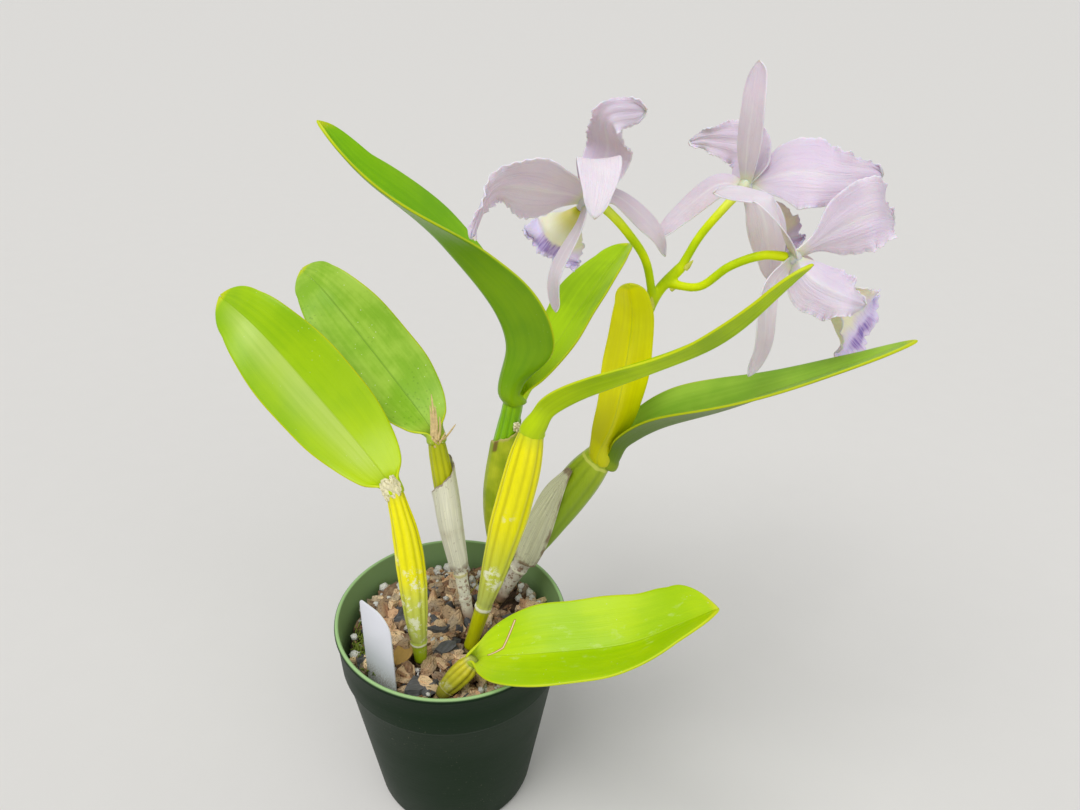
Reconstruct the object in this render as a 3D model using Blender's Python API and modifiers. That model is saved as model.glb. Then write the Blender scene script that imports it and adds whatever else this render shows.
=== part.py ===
"""Cattleya orchid in bloom, in a green plastic nursery pot.

Run with: blender --background --python part.py
Units are metres in Blender; the design values below are millimetres and are scaled by MM.
+Z is up, the origin is the centre of the pot's base, and the front of the plant faces -Y.
"""

import math
import random

import bmesh
import bpy
import numpy as np
from mathutils import Matrix, Vector

MM = 0.001
GAP = 0.3  # clearance between pieces that touch in the real plant

# Pot, from the base up
POT_HEIGHT = 123.0
POT_RIM_RADIUS = 63.5
POT_BASE_RADIUS = 45.0
POT_BAND_HEIGHT = 27.0
POT_BAND_STEP = 2.2
POT_WALL = 1.6
POT_SIDES = 36
DRAIN_HOLES = 4
DRAIN_RADIUS = 5.5
DRAIN_CIRCLE = 33.0

# Bark mix
MIX_TOP = 106.0
MIX_MOUND = 4.0
MIX_SIDES = 26
CHIP_COUNT = 46
CHIP_SIZE = (7.0, 14.0)

# Blades
LEAF_THICKNESS = 1.5
TEPAL_THICKNESS = 0.8
LIP_THICKNESS = 0.8
SHEATH_THICKNESS = 0.7
HEART_RADIUS = 3.6  # the knob where a bloom's parts meet
COLUMN_RADIUS = 2.5
COLUMN_LENGTH = 20.0

# Colours, linear
LEAF_GREEN = (0.19, 0.42, 0.01)
LEAF_YELLOW = (0.62, 0.62, 0.01)
BULB_YELLOW = (0.55, 0.55, 0.02)
BULB_GREEN = (0.23, 0.36, 0.02)
PAPER_WHITE = (0.62, 0.58, 0.48)
LILAC = (0.68, 0.60, 0.78)
LIP_CREAM = (0.80, 0.76, 0.52)
STEM_GREEN = (0.45, 0.62, 0.03)
POT_GREEN = (0.018, 0.062, 0.030)
BARK_BROWN = (0.19, 0.085, 0.042)
LABEL_WHITE = (0.72, 0.72, 0.76)

# Each pseudobulb: the points of its axis from the base up, and its radius at even steps along it
PSEUDOBULBS = {
    "pseudobulb_front_left": {
        "axis": [(-14, -24, 109), (-15, -24, 138), (-17, -18, 162), (-20.5, -10, 183), (-27, 0.5, 203)],
        "radii": [3.2, 4.0, 5.0, 6.0, 6.7, 6.9, 6.5, 5.3, 4.0],
        "ribs": 9,
        "colour": BULB_YELLOW,
    },
    "pseudobulb_back_left": {
        "axis": [(9, 8, 109), (4, 14, 138), (-1.5, 22, 163), (-5.5, 30, 187), (-9.8, 34.5, 214)],
        "radii": [3.2, 3.3, 3.5, 4.4, 5.2, 5.6, 5.7, 5.4, 4.4],
        "ribs": 9,
        "colour": BULB_YELLOW,
    },
    "pseudobulb_back_centre": {
        "axis": [(26, 40, 109), (24, 44, 140), (24, 44, 175), (27, 44, 205), (32, 45, 235)],
        "radii": [3.4, 4.6, 7.0, 8.6, 9.0, 8.4, 7.4, 6.2, 4.9],
        "ribs": 10,
        "colour": BULB_GREEN,
    },
    "pseudobulb_centre": {
        "axis": [(11, -14, 109), (21, -12, 147), (29, -8, 180), (36.5, -3, 211), (42.5, 4, 239)],
        "radii": [3.6, 3.9, 4.4, 6.1, 7.6, 8.8, 8.8, 8.2, 5.8],
        "ribs": 10,
        "colour": BULB_YELLOW,
    },
    "pseudobulb_flowering": {
        "axis": [(24.5, 24, 109), (39, 26, 139), (52, 27, 165), (66.5, 29, 189), (80, 30, 210)],
        "radii": [3.0, 3.6, 5.0, 7.0, 9.0, 10.3, 10.8, 10.0, 7.2],
        "ribs": 8,
        "colour": BULB_GREEN,
    },
    "pseudobulb_short": {
        "axis": [(-1, -46, 107.5), (2.5, -44, 112), (7.5, -42, 117), (12.5, -40, 122), (16.5, -39, 127)],
        "radii": [3.2, 4.2, 4.9, 5.4, 5.7, 5.8, 5.6, 4.6, 3.4],
        "ribs": 8,
        "colour": BULB_YELLOW,
    },
}

# Each leaf: its midrib from base to tip, the way its upper side faces at the base, the twist
# of the blade from base to tip in degrees, its half width at even steps from base to tip, and
# the rise of each half above the midrib at the base and at the tip in degrees
LEAVES = {
    "leaf_front_left": {
        "midrib": [(-28.4, 1.4, 204.5), (-53, 22, 223), (-97, 40, 269), (-125, 62, 281)],
        "facing": (0.09, -0.55, 0.83), "twist": 28, "rise": (10, 12),
        "half_widths": [5.5, 16.2, 21.5, 23.6, 23.4, 21.0, 15.5, 4.5],
        "colour": LEAF_GREEN,
    },
    "leaf_back_left": {
        "midrib": [(-9.9, 35.5, 214.9), (-29, 56, 229), (-72, 82, 273), (-94, 107, 281)],
        "facing": (0.04, -0.5, 0.87), "twist": 24, "rise": (20, 10),
        "half_widths": [5.2, 16.6, 22.2, 23.0, 22.4, 19.4, 13.8, 4.0],
        "colour": LEAF_GREEN,
    },
    "leaf_back_upper": {
        "midrib": [(29.5, 44, 236.5), (25.3, 45, 276), (-4, 50, 315), (-38, 32, 353), (-55, 28, 377)],
        "facing": (0.76, 0.65, 0.06), "twist": 64, "rise": (39, 30),
        "half_widths": [8.5, 24.0, 31.0, 27.0, 24.0, 21.0, 16.0, 4.0],
        "colour": LEAF_GREEN,
    },
    "leaf_back_right": {
        "midrib": [(34.7, 46.9, 235.9), (53.5, 70, 254), (73.5, 105.5, 272.5), (98, 148, 289)],
        "facing": (-0.33, -0.41, 0.85), "twist": 12, "rise": (20, 28),
        "half_widths": [4.2, 12.6, 16.0, 17.0, 18.8, 17.6, 13.0, 4.5],
        "colour": LEAF_GREEN,
    },
    "leaf_right_upper": {
        "midrib": [(43.7, 3.4, 240.2), (65.5, -2, 259), (120.5, -14, 293), (152.5, -30, 337.5)],
        "facing": (-0.48, 0.51, 0.72), "twist": -5, "rise": (58, 20),
        "half_widths": [6.5, 12.2, 12.0, 11.4, 11.2, 11.4, 9.2, 3.5],
        "colour": LEAF_GREEN,
    },
    "leaf_flower_front": {
        "midrib": [(77.5, 25.5, 213), (84.5, 18.5, 242), (88, 15, 290), (83.5, 4, 315)],
        "facing": (0.24, 0.95, 0.2), "twist": -5, "rise": (39, 31),
        "half_widths": [3.6, 10.3, 12.8, 14.2, 14.3, 12.8, 9.9, 3.5],
        "colour": LEAF_YELLOW,
    },
    "leaf_flower_right": {
        "midrib": [(84.6, 30, 208.5), (107, 22, 230.5), (146, 5, 256.5), (208.6, -16, 300)],
        "facing": (-0.59, 0.13, 0.79), "twist": 10, "rise": (54, 4),
        "half_widths": [4.2, 14.7, 21.6, 21.0, 17.8, 13.2, 8.3, 3.2],
        "colour": LEAF_GREEN,
    },
    "leaf_short": {
        "midrib": [(17.6, -38.9, 128.8), (46, -48, 141), (92, -51.5, 153.5), (132, -56.5, 183.5)],
        "facing": (-0.39, -0.31, 0.87), "twist": 13, "rise": (26, 28),
        "half_widths": [4.0, 17.5, 23.6, 24.3, 23.8, 22.0, 17.5, 5.0],
        "colour": LEAF_GREEN,
    },
}

# Each bloom: the place of its heart, the way its column points, its up side, and its tepals.
# A tepal has its midrib from the heart out, the way its inner side faces at the heart, the twist
# of the blade in degrees, and its half width at even steps.
BLOOMS = {
    "left": {
        "heart": (64, 20, 348),
        "column": (-0.5, 0.62, -0.6),
        "up": (-0.5, 0.1, 0.85),
        "sepals": {
            "dorsal": {
                "midrib": [(67, 8, 371), (67.6, -12, 367), (65.7, -20, 350.3)],
                "facing": (-0.63, 0.66, 0.41), "twist": 24,
                "half_widths": [2.5, 5.9, 8.7, 9.5, 8.6, 6.8, 1.6],
            },
            "right": {
                "midrib": [(78, 28, 347.5), (95.5, 22, 334), (101.6, 22.5, 321.7)],
                "facing": (-0.35, 0.56, -0.75), "twist": -13,
                "half_widths": [2.5, 4.4, 4.9, 5.4, 5.2, 3.4, 1.0],
            },
            "low": {
                "midrib": [(61, 9.6, 339), (51, 3, 319), (51.8, 7.1, 299)],
                "facing": (-0.9, -0.1, 0.42), "twist": 60,
                "half_widths": [2.5, 3.0, 3.5, 3.7, 3.7, 3.3, 1.0],
            },
        },
        "petals": {
            "left": {
                "midrib": [(51.5, 10.5, 353), (25, 5, 355), (14.7, -7.5, 336.7)],
                "facing": (-0.26, 0.69, 0.68), "twist": -6, "curl": (-0.3, 0.2),
                "half_widths": [2.5, 9.8, 18.5, 18.0, 8.0, 4.6, 1.5],
            },
            "right": {
                "midrib": [(72.5, 28, 367), (70, 8, 384), (86, 11.5, 387)],
                "facing": (0.01, 0.88, -0.48), "twist": 33, "curl": (0.4, -0.24),
                "half_widths": [2.5, 8.9, 11.2, 10.4, 7.0, 6.8, 1.8],
            },
        },
    },
    "top": {
        "heart": (138, 40, 351),
        "column": (0.66, 0.60, -0.45),
        "up": (0.1, 0.3, 0.95),
        "sepals": {
            "dorsal": {
                "midrib": [(136, 37.5, 368), (135.6, 37.5, 387), (137.2, 44.5, 404.6)],
                "facing": (0.66, 0.6, -0.45), "twist": 0,
                "half_widths": [2.5, 6.4, 8.6, 8.8, 7.6, 4.8, 1.0],
            },
            "left": {
                "midrib": [(125.5, 44, 350), (110, 44, 336), (99.5, 34, 327)],
                "facing": (0.02, 0.35, -0.94), "twist": 2,
                "half_widths": [2.5, 5.6, 6.4, 6.3, 5.7, 4.4, 1.0],
            },
            "low": {
                "midrib": [(146.4, 35, 340), (151.3, 32, 324), (152.8, 26, 310)],
                "facing": (0.38, 0.92, -0.12), "twist": 4,
                "half_widths": [2.5, 5.9, 8.4, 9.0, 7.8, 5.2, 1.0],
            },
        },
        "petals": {
            "left": {
                "midrib": [(141, 59.5, 364.7), (124, 66, 366.5), (115.2, 71.8, 364.1)],
                "facing": (0.71, 0.31, -0.64), "twist": 13, "curl": (0.38, -0.2),
                "half_widths": [2.5, 10.5, 11.2, 11.8, 9.5, 5.6, 1.5],
            },
            "right": {
                "midrib": [(160, 41, 357.5), (180, 36, 357.4), (200.1, 39.6, 358)],
                "facing": (0.3, 0.74, -0.6), "twist": -14, "curl": (0.4, -0.2),
                "half_widths": [2.5, 8.2, 16.4, 17.2, 13.0, 9.2, 1.8],
            },
        },
    },
    "right": {
        "heart": (158, 14, 326),
        "column": (0.88, 0.07, -0.47),
        "up": (0.5, 0.0, 0.86),
        "sepals": {
            "dorsal": {
                "midrib": [(142.5, 7, 349.5), (134, 10.5, 353.6), (116, 4, 356)],
                "facing": (0.78, 0.2, 0.58), "twist": -44,
                "half_widths": [2.5, 5.0, 7.0, 7.3, 6.8, 5.0, 1.0],
            },
            "near": {
                "midrib": [(147.2, 5.5, 313.1), (146.9, 0, 288.2), (140.1, -8, 276.2)],
                "facing": (0.58, -0.81, 0.07), "twist": -28,
                "half_widths": [2.5, 4.0, 5.1, 5.0, 4.8, 3.6, 1.0],
            },
            "far": {
                "midrib": [(170, 30, 315), (181, 40, 302), (188, 44, 287)],
                "facing": (0.86, 0.12, -0.50), "twist": 0,
                "half_widths": [2.5, 4.4, 5.4, 5.6, 5.2, 3.6, 1.0],
            },
        },
        "petals": {
            "near": {
                "midrib": [(164.8, 1, 319.8), (177, -12, 317), (188.7, -8, 312.1)],
                "facing": (0.45, 0.57, -0.68), "twist": 2, "curl": (0.3, -0.2),
                "half_widths": [2.5, 8.6, 12.2, 12.4, 11.8, 7.6, 2.0],
            },
            "far": {
                "midrib": [(178.3, 19.5, 338), (195, 24, 344.6), (211, 43, 337)],
                "facing": (-0.4, 0.88, 0.25), "twist": 56, "curl": (0.31, -0.2),
                "half_widths": [2.5, 5.0, 14.0, 16.8, 15.8, 10.0, 2.0],
            },
        },
    },
}

# Flower stem: the main stem, and a stalk to the back of each bloom's heart
FLOWER_STEM = [(80.3, 35.2, 211.1), (86, 36, 236), (93, 34, 270), (100, 31, 299), (112, 30, 316)]
STALKS = {
    "left": [(99, 30, 297), (93, 23, 319), (83, 17, 334), (73, 17, 344)],
    "top": [(111, 30, 315), (118, 30, 330), (128, 32, 343)],
    "right": [(106, 30, 306), (119, 22, 308), (130, 16, 320), (143, 12, 327)],
}
STEM_RADIUS = 3.0
STALK_RADIUS = 2.1

# The creeping stem just under the mix, with a short stub up to the base of each pseudobulb
RHIZOME = [(0, -46, 100.3), (7, -32, 103), (11, -14, 103), (9.5, 8, 103), (24, 24, 103), (26, 41, 103)]
RHIZOME_BRANCH = [(9.5, -20, 103), (-3, -24, 103), (-15, -24, 103)]
RHIZOME_RADIUS = 3.4

LABEL = {"width": 22.0, "length": 62.0, "thickness": 0.9, "foot": (-31.5, -40.5, 92), "turn": -38}
LABEL_LEAN = (-3.0, 7.0)  # how far the top of the label stands from its foot, in X and Y


def clear_scene():
    for obj in list(bpy.data.objects):
        bpy.data.objects.remove(obj, do_unlink=True)


def new_material(name, colour, roughness):
    material = bpy.data.materials.new(name)
    material.use_nodes = True
    shader = material.node_tree.nodes["Principled BSDF"]
    shader.inputs["Base Color"].default_value = (*colour, 1)
    shader.inputs["Roughness"].default_value = roughness
    return material


def new_object(name, bm, collection):
    """A mesh object from a bmesh in millimetres, with its faces turned out."""
    bmesh.ops.scale(bm, vec=(MM, MM, MM), verts=bm.verts)
    bmesh.ops.recalc_face_normals(bm, faces=bm.faces)
    mesh = bpy.data.meshes.new(name)
    bm.to_mesh(mesh)
    bm.free()
    obj = bpy.data.objects.new(name, mesh)
    collection.objects.link(obj)
    return obj


def finish(obj, material, smooth=True):
    obj.data.materials.clear()
    obj.data.materials.append(material)
    if smooth:
        obj.data.shade_smooth()
    return obj


def unit(vector):
    return np.asarray(vector, float) / np.linalg.norm(vector)


def smooth_path(points, count):
    """A Catmull-Rom curve through the points, read at count places an even distance apart."""
    p = np.asarray(points, float)
    p = np.vstack([2 * p[0] - p[1], p, 2 * p[-1] - p[-2]])
    t = np.linspace(0, 1, 24, endpoint=False)[:, None]
    dense = []
    for a, b, c, d in zip(p, p[1:], p[2:], p[3:]):
        turn = (2 * a - 5 * b + 4 * c - d) * t**2 + (3 * b - a - 3 * c + d) * t**3
        dense.append(0.5 * (2 * b + (c - a) * t + turn))
    dense = np.vstack(dense + [p[-2][None]])
    run = np.concatenate([[0], np.cumsum(np.linalg.norm(np.diff(dense, axis=0), axis=1))])
    at = np.linspace(0, run[-1], count)
    return np.stack([np.interp(at, run, dense[:, k]) for k in range(3)], axis=1)


def path_frames(path, facing, twist=0.0):
    """Side and facing directions along a path, carried without spin and then turned by twist degrees."""
    along = np.gradient(path, axis=0)
    along /= np.linalg.norm(along, axis=1)[:, None]
    facings = []
    now = np.asarray(facing, float)
    for tangent in along:
        now = unit(now - now.dot(tangent) * tangent)
        facings.append(now)
    facings = np.array(facings)
    sides = np.cross(along, facings)
    angle = np.radians(twist) * np.linspace(0, 1, len(path))[:, None]
    return (
        sides * np.cos(angle) + facings * np.sin(angle),
        facings * np.cos(angle) - sides * np.sin(angle),
    )


def grid_blade(name, collection, across, along, place, thickness):
    """A flat grid laid over place(s, u), with s from 0 at the base to 1 at the tip and u from -1
    to 1 across, split into triangles and thickened evenly on both faces."""
    bm = bmesh.new()
    bmesh.ops.create_grid(bm, x_segments=along, y_segments=across, size=1)
    for vert in bm.verts:
        vert.co = Vector(place((vert.co.x + 1) / 2, vert.co.y))
    bmesh.ops.triangulate(bm, faces=bm.faces)
    obj = new_object(name, bm, collection)
    solid = obj.modifiers.new("thickness", "SOLIDIFY")
    solid.thickness = thickness * MM
    solid.offset = 0
    return obj


def strip(midrib, facing, twist, half_width, rise=(0, 0), curl=(0, 0), ruffle=None, tip_round=0.6):
    """The place function of a blade along a midrib. half_width and ruffle are functions. Between
    base and tip, rise folds both halves up in degrees and curl bends them round in radians."""
    samples = 120
    path = smooth_path(midrib, samples)
    sides, facings = path_frames(path, facing, twist)
    length = np.linalg.norm(np.diff(path, axis=0), axis=1).sum()

    def read(table, s):
        return np.array([np.interp(s * (samples - 1), range(samples), table[:, k]) for k in range(3)])

    def place(s, u):
        width = half_width(s)
        at = max(0.0, s - tip_round * width / length * u * u * s**5)
        fold = math.radians(rise[0] + (rise[1] - rise[0]) * s)
        bend = curl[0] + (curl[1] - curl[0]) * s
        bend = math.copysign(max(abs(bend), 0.001), bend)
        x = width / bend * math.sin(u * bend) * math.cos(fold)
        z = width / bend * (1 - math.cos(u * bend))
        z += width * math.sin(fold) * (math.sqrt(u * u + 0.02) - math.sqrt(0.02))
        if ruffle:
            z += ruffle(s, u)
        return read(path, at) + read(sides, at) * x + read(facings, at) * z

    return place


def even_steps(values, scale=1.0):
    """Reads a list of values at even steps from s = 0 to s = 1."""
    stops = np.linspace(0, 1, len(values))
    return lambda s: float(np.interp(s, stops, values)) * scale


def make_leaf(name, spec, collection):
    place = strip(
        spec["midrib"], spec["facing"], spec["twist"], even_steps(spec["half_widths"]), spec["rise"],
    )
    leaf = grid_blade(name, collection, 6, 14, place, LEAF_THICKNESS)
    return finish(leaf, new_material(name, spec["colour"], 0.35))


def rolled_tube(name, collection, axis, radius_at, rings, sides, ribs=0, rib_depth=0.0, clearance=0.0):
    """A closed tube along an axis, from a grid rolled up and capped at both ends."""
    path = smooth_path(axis, rings + 1)
    side, front = path_frames(path, (0, -1, 0.1))
    bm = bmesh.new()
    bmesh.ops.create_grid(bm, x_segments=rings, y_segments=sides, size=1)
    for vert in bm.verts:
        ring = round((vert.co.x + 1) / 2 * rings)
        turn = math.pi * vert.co.y
        swell = 1 + rib_depth * math.cos(ribs * turn)
        radius = radius_at(ring / rings) * swell + clearance
        offset = side[ring] * math.cos(turn) + front[ring] * math.sin(turn)
        vert.co = Vector(path[ring] + offset * radius)
    bmesh.ops.remove_doubles(bm, verts=bm.verts, dist=0.01)
    bmesh.ops.holes_fill(bm, edges=bm.edges, sides=sides)
    return new_object(name, bm, collection)


def make_pseudobulb(name, spec, collection):
    bulb = rolled_tube(
        name, collection, spec["axis"], even_steps(spec["radii"]), 9, 2 * spec["ribs"],
        spec["ribs"], 0.06,
    )
    return finish(bulb, new_material(name, spec["colour"], 0.4))


def apply_modifiers(obj):
    """Replaces the object's mesh with its evaluated one."""
    graph = bpy.context.evaluated_depsgraph_get()
    mesh = bpy.data.meshes.new_from_object(obj.evaluated_get(graph))
    obj.modifiers.clear()
    obj.data = mesh
    return obj


def union(base, pieces_collection):
    """Joins a collection's objects to base in one Boolean, then removes them."""
    join = base.modifiers.new("join", "BOOLEAN")
    join.operation = "UNION"
    join.operand_type = "COLLECTION"
    join.collection = pieces_collection
    join.solver = "EXACT"
    bpy.context.view_layer.update()
    apply_modifiers(base)
    for obj in list(pieces_collection.objects):
        bpy.data.objects.remove(obj, do_unlink=True)
    bpy.data.collections.remove(pieces_collection)
    return base


def subtract(base, cutters, solver="EXACT"):
    """Cuts each cutter from base in turn and applies the cuts."""
    for cutter in cutters:
        cut = base.modifiers.new("cut", "BOOLEAN")
        cut.operation = "DIFFERENCE"
        cut.object = cutter
        cut.solver = solver
    bpy.context.view_layer.update()
    return apply_modifiers(base)


def new_collection(name, hidden=False):
    collection = bpy.data.collections.new(name)
    bpy.context.scene.collection.children.link(collection)
    collection.hide_render = hidden
    return collection


def turned_solid(name, collection, profile, sides):
    """A profile of (radius, height) pairs turned about Z with a Screw modifier."""
    bm = bmesh.new()
    verts = [bm.verts.new((radius, 0, height)) for radius, height in profile]
    for a, b in zip(verts, verts[1:]):
        bm.edges.new((a, b))
    obj = new_object(name, bm, collection)
    screw = obj.modifiers.new("turn", "SCREW")
    screw.axis = "Z"
    screw.angle = 2 * math.pi
    screw.steps = sides
    screw.render_steps = sides
    screw.use_merge_vertices = True
    screw.merge_threshold = 0.00005
    return obj


def pot_outer_radius(height):
    """Radius of the pot's outer wall below the band."""
    top = POT_RIM_RADIUS - POT_BAND_STEP - 1.6
    return POT_BASE_RADIUS + (top - POT_BASE_RADIUS) * height / (POT_HEIGHT - POT_BAND_HEIGHT)


def pot_inner_radius(height):
    shoulder = POT_HEIGHT - POT_BAND_HEIGHT
    if height <= shoulder:
        return pot_outer_radius(height) - POT_WALL
    rise = (height - shoulder) / POT_BAND_HEIGHT
    low = pot_outer_radius(shoulder) - POT_WALL
    return low + (POT_RIM_RADIUS - 2.4 - low) * min(1.0, 0.5 + 0.5 * rise)


def make_pot(collection, cutters):
    shoulder = POT_HEIGHT - POT_BAND_HEIGHT
    band = POT_RIM_RADIUS - 1.6
    profile = [
        (0, POT_WALL),
        (pot_inner_radius(POT_WALL) - 3, POT_WALL),
        (pot_inner_radius(POT_WALL + 3), POT_WALL + 3),
        (pot_inner_radius(shoulder), shoulder),
        (pot_inner_radius(shoulder + 2), shoulder + 2),
        (POT_RIM_RADIUS - 2.4, POT_HEIGHT),
        (POT_RIM_RADIUS - 1.2, POT_HEIGHT + 0.6),
        (POT_RIM_RADIUS, POT_HEIGHT),
        (POT_RIM_RADIUS, POT_HEIGHT - 1.8),
        (band + 0.6, POT_HEIGHT - 2.6),
        (band - 0.6, shoulder + 0.8),
        (band - 1.2, shoulder),
        (pot_outer_radius(shoulder), shoulder - 1.0),
        (pot_outer_radius(4), 4),
        (POT_BASE_RADIUS - 0.6, 1.2),
        (POT_BASE_RADIUS - 2.0, 0),
        (0, 0),
    ]
    pot = turned_solid("pot", collection, profile, POT_SIDES)
    for index in range(DRAIN_HOLES):
        angle = 2 * math.pi * (index + 0.5) / DRAIN_HOLES
        bm = bmesh.new()
        bmesh.ops.create_cone(
            bm, cap_ends=True, segments=12, radius1=DRAIN_RADIUS, radius2=DRAIN_RADIUS, depth=12,
            matrix=Matrix.Translation((DRAIN_CIRCLE * math.cos(angle), DRAIN_CIRCLE * math.sin(angle), 0)),
        )
        cutter = new_object(f"drain_cutter_{index}", bm, cutters)
        hide_helper(cutter)
        cut = pot.modifiers.new(f"drain_{index}", "BOOLEAN")
        cut.operation = "DIFFERENCE"
        cut.object = cutter
        cut.solver = "EXACT"
    return finish(pot, new_material("pot", POT_GREEN, 0.45))


def hide_helper(obj):
    obj.hide_render = True
    obj.display_type = "WIRE"


def lengthen(points, extra):
    """The points with both ends moved out along the route."""
    p = np.asarray(points, float)
    return np.vstack([p[0] + unit(p[0] - p[1]) * extra, p[1:-1], p[-1] + unit(p[-1] - p[-2]) * extra])


def tube_mesh(name, collection, points, radius, sides, count, extra=0.0):
    """A tube along a smooth route, from a curve with a bevel, as a welded mesh. A cutter is wider
    and longer than its tube by extra all round."""
    curve = bpy.data.curves.new(name, "CURVE")
    curve.dimensions = "3D"
    curve.bevel_depth = (radius + extra) * MM
    curve.bevel_resolution = (sides - 4) // 2
    curve.use_fill_caps = True
    spline = curve.splines.new("POLY")
    route = lengthen(smooth_path(points, count), extra) * MM
    spline.points.add(count - 1)
    for point, place in zip(spline.points, route):
        point.co = (*place, 1)
    guide = bpy.data.objects.new(name + "_guide", curve)
    collection.objects.link(guide)
    graph = bpy.context.evaluated_depsgraph_get()
    mesh = bpy.data.meshes.new_from_object(guide.evaluated_get(graph))
    bm = bmesh.new()
    bm.from_mesh(mesh)
    bmesh.ops.remove_doubles(bm, verts=bm.verts, dist=0.00001)
    bmesh.ops.recalc_face_normals(bm, faces=bm.faces)
    bm.to_mesh(mesh)
    bm.free()
    bpy.data.objects.remove(guide, do_unlink=True)
    obj = bpy.data.objects.new(name, mesh)
    collection.objects.link(obj)
    return obj


def stub(spec):
    """The points of a short upright stub from the rhizome to just under a pseudobulb."""
    base = np.array(spec["axis"][0], float)
    up = unit(np.array(spec["axis"][1]) - base)
    return [tuple(base - up * 7.5), tuple(base - up * 4), tuple(base - up * GAP)]


def make_rhizome(name, collection, extra, material=None):
    """The creeping stem under the bulbs, as one body. With extra it is a cutter: wider by that
    much all round, and joined to the lower part of each pseudobulb."""
    parts = new_collection(name + "_parts")
    base = tube_mesh(name, collection, RHIZOME, RHIZOME_RADIUS, 8, 10, extra)
    tube_mesh(name + "_branch", parts, RHIZOME_BRANCH, RHIZOME_RADIUS, 8, 4, extra)
    for bulb, spec in PSEUDOBULBS.items():
        low = spec["radii"][0]
        if extra:
            rise = smooth_path(spec["axis"], 40)
            rise = rise[np.linalg.norm(rise - rise[0], axis=1) < 16]
            points = stub(spec)[:2] + [tuple(rise[0]), tuple(rise[-1])]
            reach = float(np.interp(16, [0, 16], [low, spec["radii"][1 if len(rise) < 30 else 5]]))
            rolled_tube(f"{name}_{bulb}", parts, lengthen(points, 2), lambda s: reach + extra + 0.9, 4, 12)
        else:
            rolled_tube(f"{name}_{bulb}", parts, stub(spec), lambda s: low - 0.2, 2, 8)
    union(base, parts)
    return finish(base, material) if material else base


def mound(x, y):
    """Height of the mix's surface before the chips."""
    reach = math.hypot(x, y) / 60
    return MIX_TOP + MIX_MOUND * (1 - reach * reach)


def make_chip(name, rng, collection, x, y):
    """One bark chip: a box with uneven corners, tumbled and sunk into the mix."""
    bm = bmesh.new()
    size = [rng.uniform(*CHIP_SIZE), rng.uniform(*CHIP_SIZE) * 0.7, rng.uniform(3.5, 6.0)]
    bmesh.ops.create_cube(bm, size=1)
    for vert in bm.verts:
        vert.co = Vector([vert.co[k] * size[k] * rng.uniform(0.7, 1.1) for k in range(3)])
    turn = Matrix.Rotation(rng.uniform(0, 2 * math.pi), 4, "Z") @ Matrix.Rotation(rng.uniform(-0.7, 0.7), 4, "X")
    bmesh.ops.transform(bm, matrix=Matrix.Translation((x, y, mound(x, y) + rng.uniform(-0.8, 1.2))) @ turn, verts=bm.verts)
    return new_object(name, bm, collection)


def make_mix(collection, cutters):
    """The bark mix: a turned core that fills the pot, with chips joined to its top and plain holes
    where the stems, roots and label stand."""
    clear = GAP + 0.1
    shoulder = POT_HEIGHT - POT_BAND_HEIGHT
    rim = 56.8
    profile = [
        (0, mound(0, 0)),
        (rim * 0.33, mound(rim * 0.33, 0)),
        (rim * 0.66, mound(rim * 0.66, 0)),
        (rim, mound(rim, 0) - 1),
        (pot_inner_radius(shoulder - 2) - 0.8, shoulder - 2),
        (pot_inner_radius(POT_WALL + 3) - clear - 0.5, POT_WALL + 3.5),
        (pot_inner_radius(POT_WALL) - 4.5, POT_WALL + clear),
        (0, POT_WALL + clear),
    ]
    mix = apply_modifiers(turned_solid("potting_mix", collection, profile, MIX_SIDES))
    rng = random.Random(7)
    chips = new_collection("chips")
    for index in range(CHIP_COUNT):
        reach = 52.0 * math.sqrt((index + 0.5) / CHIP_COUNT)
        turn = index * 2.39996 + rng.uniform(-0.15, 0.15)
        make_chip(f"chip_{index}", rng, chips, reach * math.cos(turn), reach * math.sin(turn))
    union(mix, chips)
    subtract(mix, cutters, "MANIFOLD")
    return finish(largest_body(mix), new_material("potting_mix", BARK_BROWN, 0.9), smooth=False)


def largest_body(obj):
    """Drops loose scraps that a cut leaves, keeping the body with most vertices."""
    bm = bmesh.new()
    bm.from_mesh(obj.data)
    left = set(bm.verts)
    bodies = []
    while left:
        stack = [left.pop()]
        body = set(stack)
        while stack:
            vert = stack.pop()
            for edge in vert.link_edges:
                other = edge.other_vert(vert)
                if other in left:
                    left.discard(other)
                    body.add(other)
                    stack.append(other)
        bodies.append(body)
    keep = max(bodies, key=len)
    bmesh.ops.delete(bm, geom=[v for v in bm.verts if v not in keep], context="VERTS")
    bm.to_mesh(obj.data)
    bm.free()
    return obj


def make_label(collection, extra=0.0):
    """The plant label: a thin plate standing in the mix, with one top corner cut off."""
    width, length = LABEL["width"] + 2 * extra, LABEL["length"] + 2 * extra
    bm = bmesh.new()
    bmesh.ops.create_cube(bm, size=1)
    bmesh.ops.scale(bm, vec=(width, LABEL["thickness"] + 2 * extra, length), verts=bm.verts)
    bmesh.ops.translate(bm, vec=(0, 0, length / 2 - extra), verts=bm.verts)
    corner = [
        edge for edge in bm.edges if all(vert.co.z > 1 and vert.co.x > 1 for vert in edge.verts)
    ]
    bmesh.ops.bevel(bm, geom=corner, offset=12, segments=2, affect="EDGES", profile=0.4)
    bmesh.ops.rotate(bm, matrix=Matrix.Rotation(math.radians(LABEL["turn"]), 3, "Z"), verts=bm.verts)
    for vert in bm.verts:
        share = vert.co.z / LABEL["length"]
        vert.co += Vector((LABEL_LEAN[0] * share, LABEL_LEAN[1] * share, 0))
    bmesh.ops.translate(bm, vec=LABEL["foot"], verts=bm.verts)
    label = new_object("plant_label", bm, collection)
    return finish(label, new_material("plant_label", LABEL_WHITE, 0.5), smooth=False)


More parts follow.
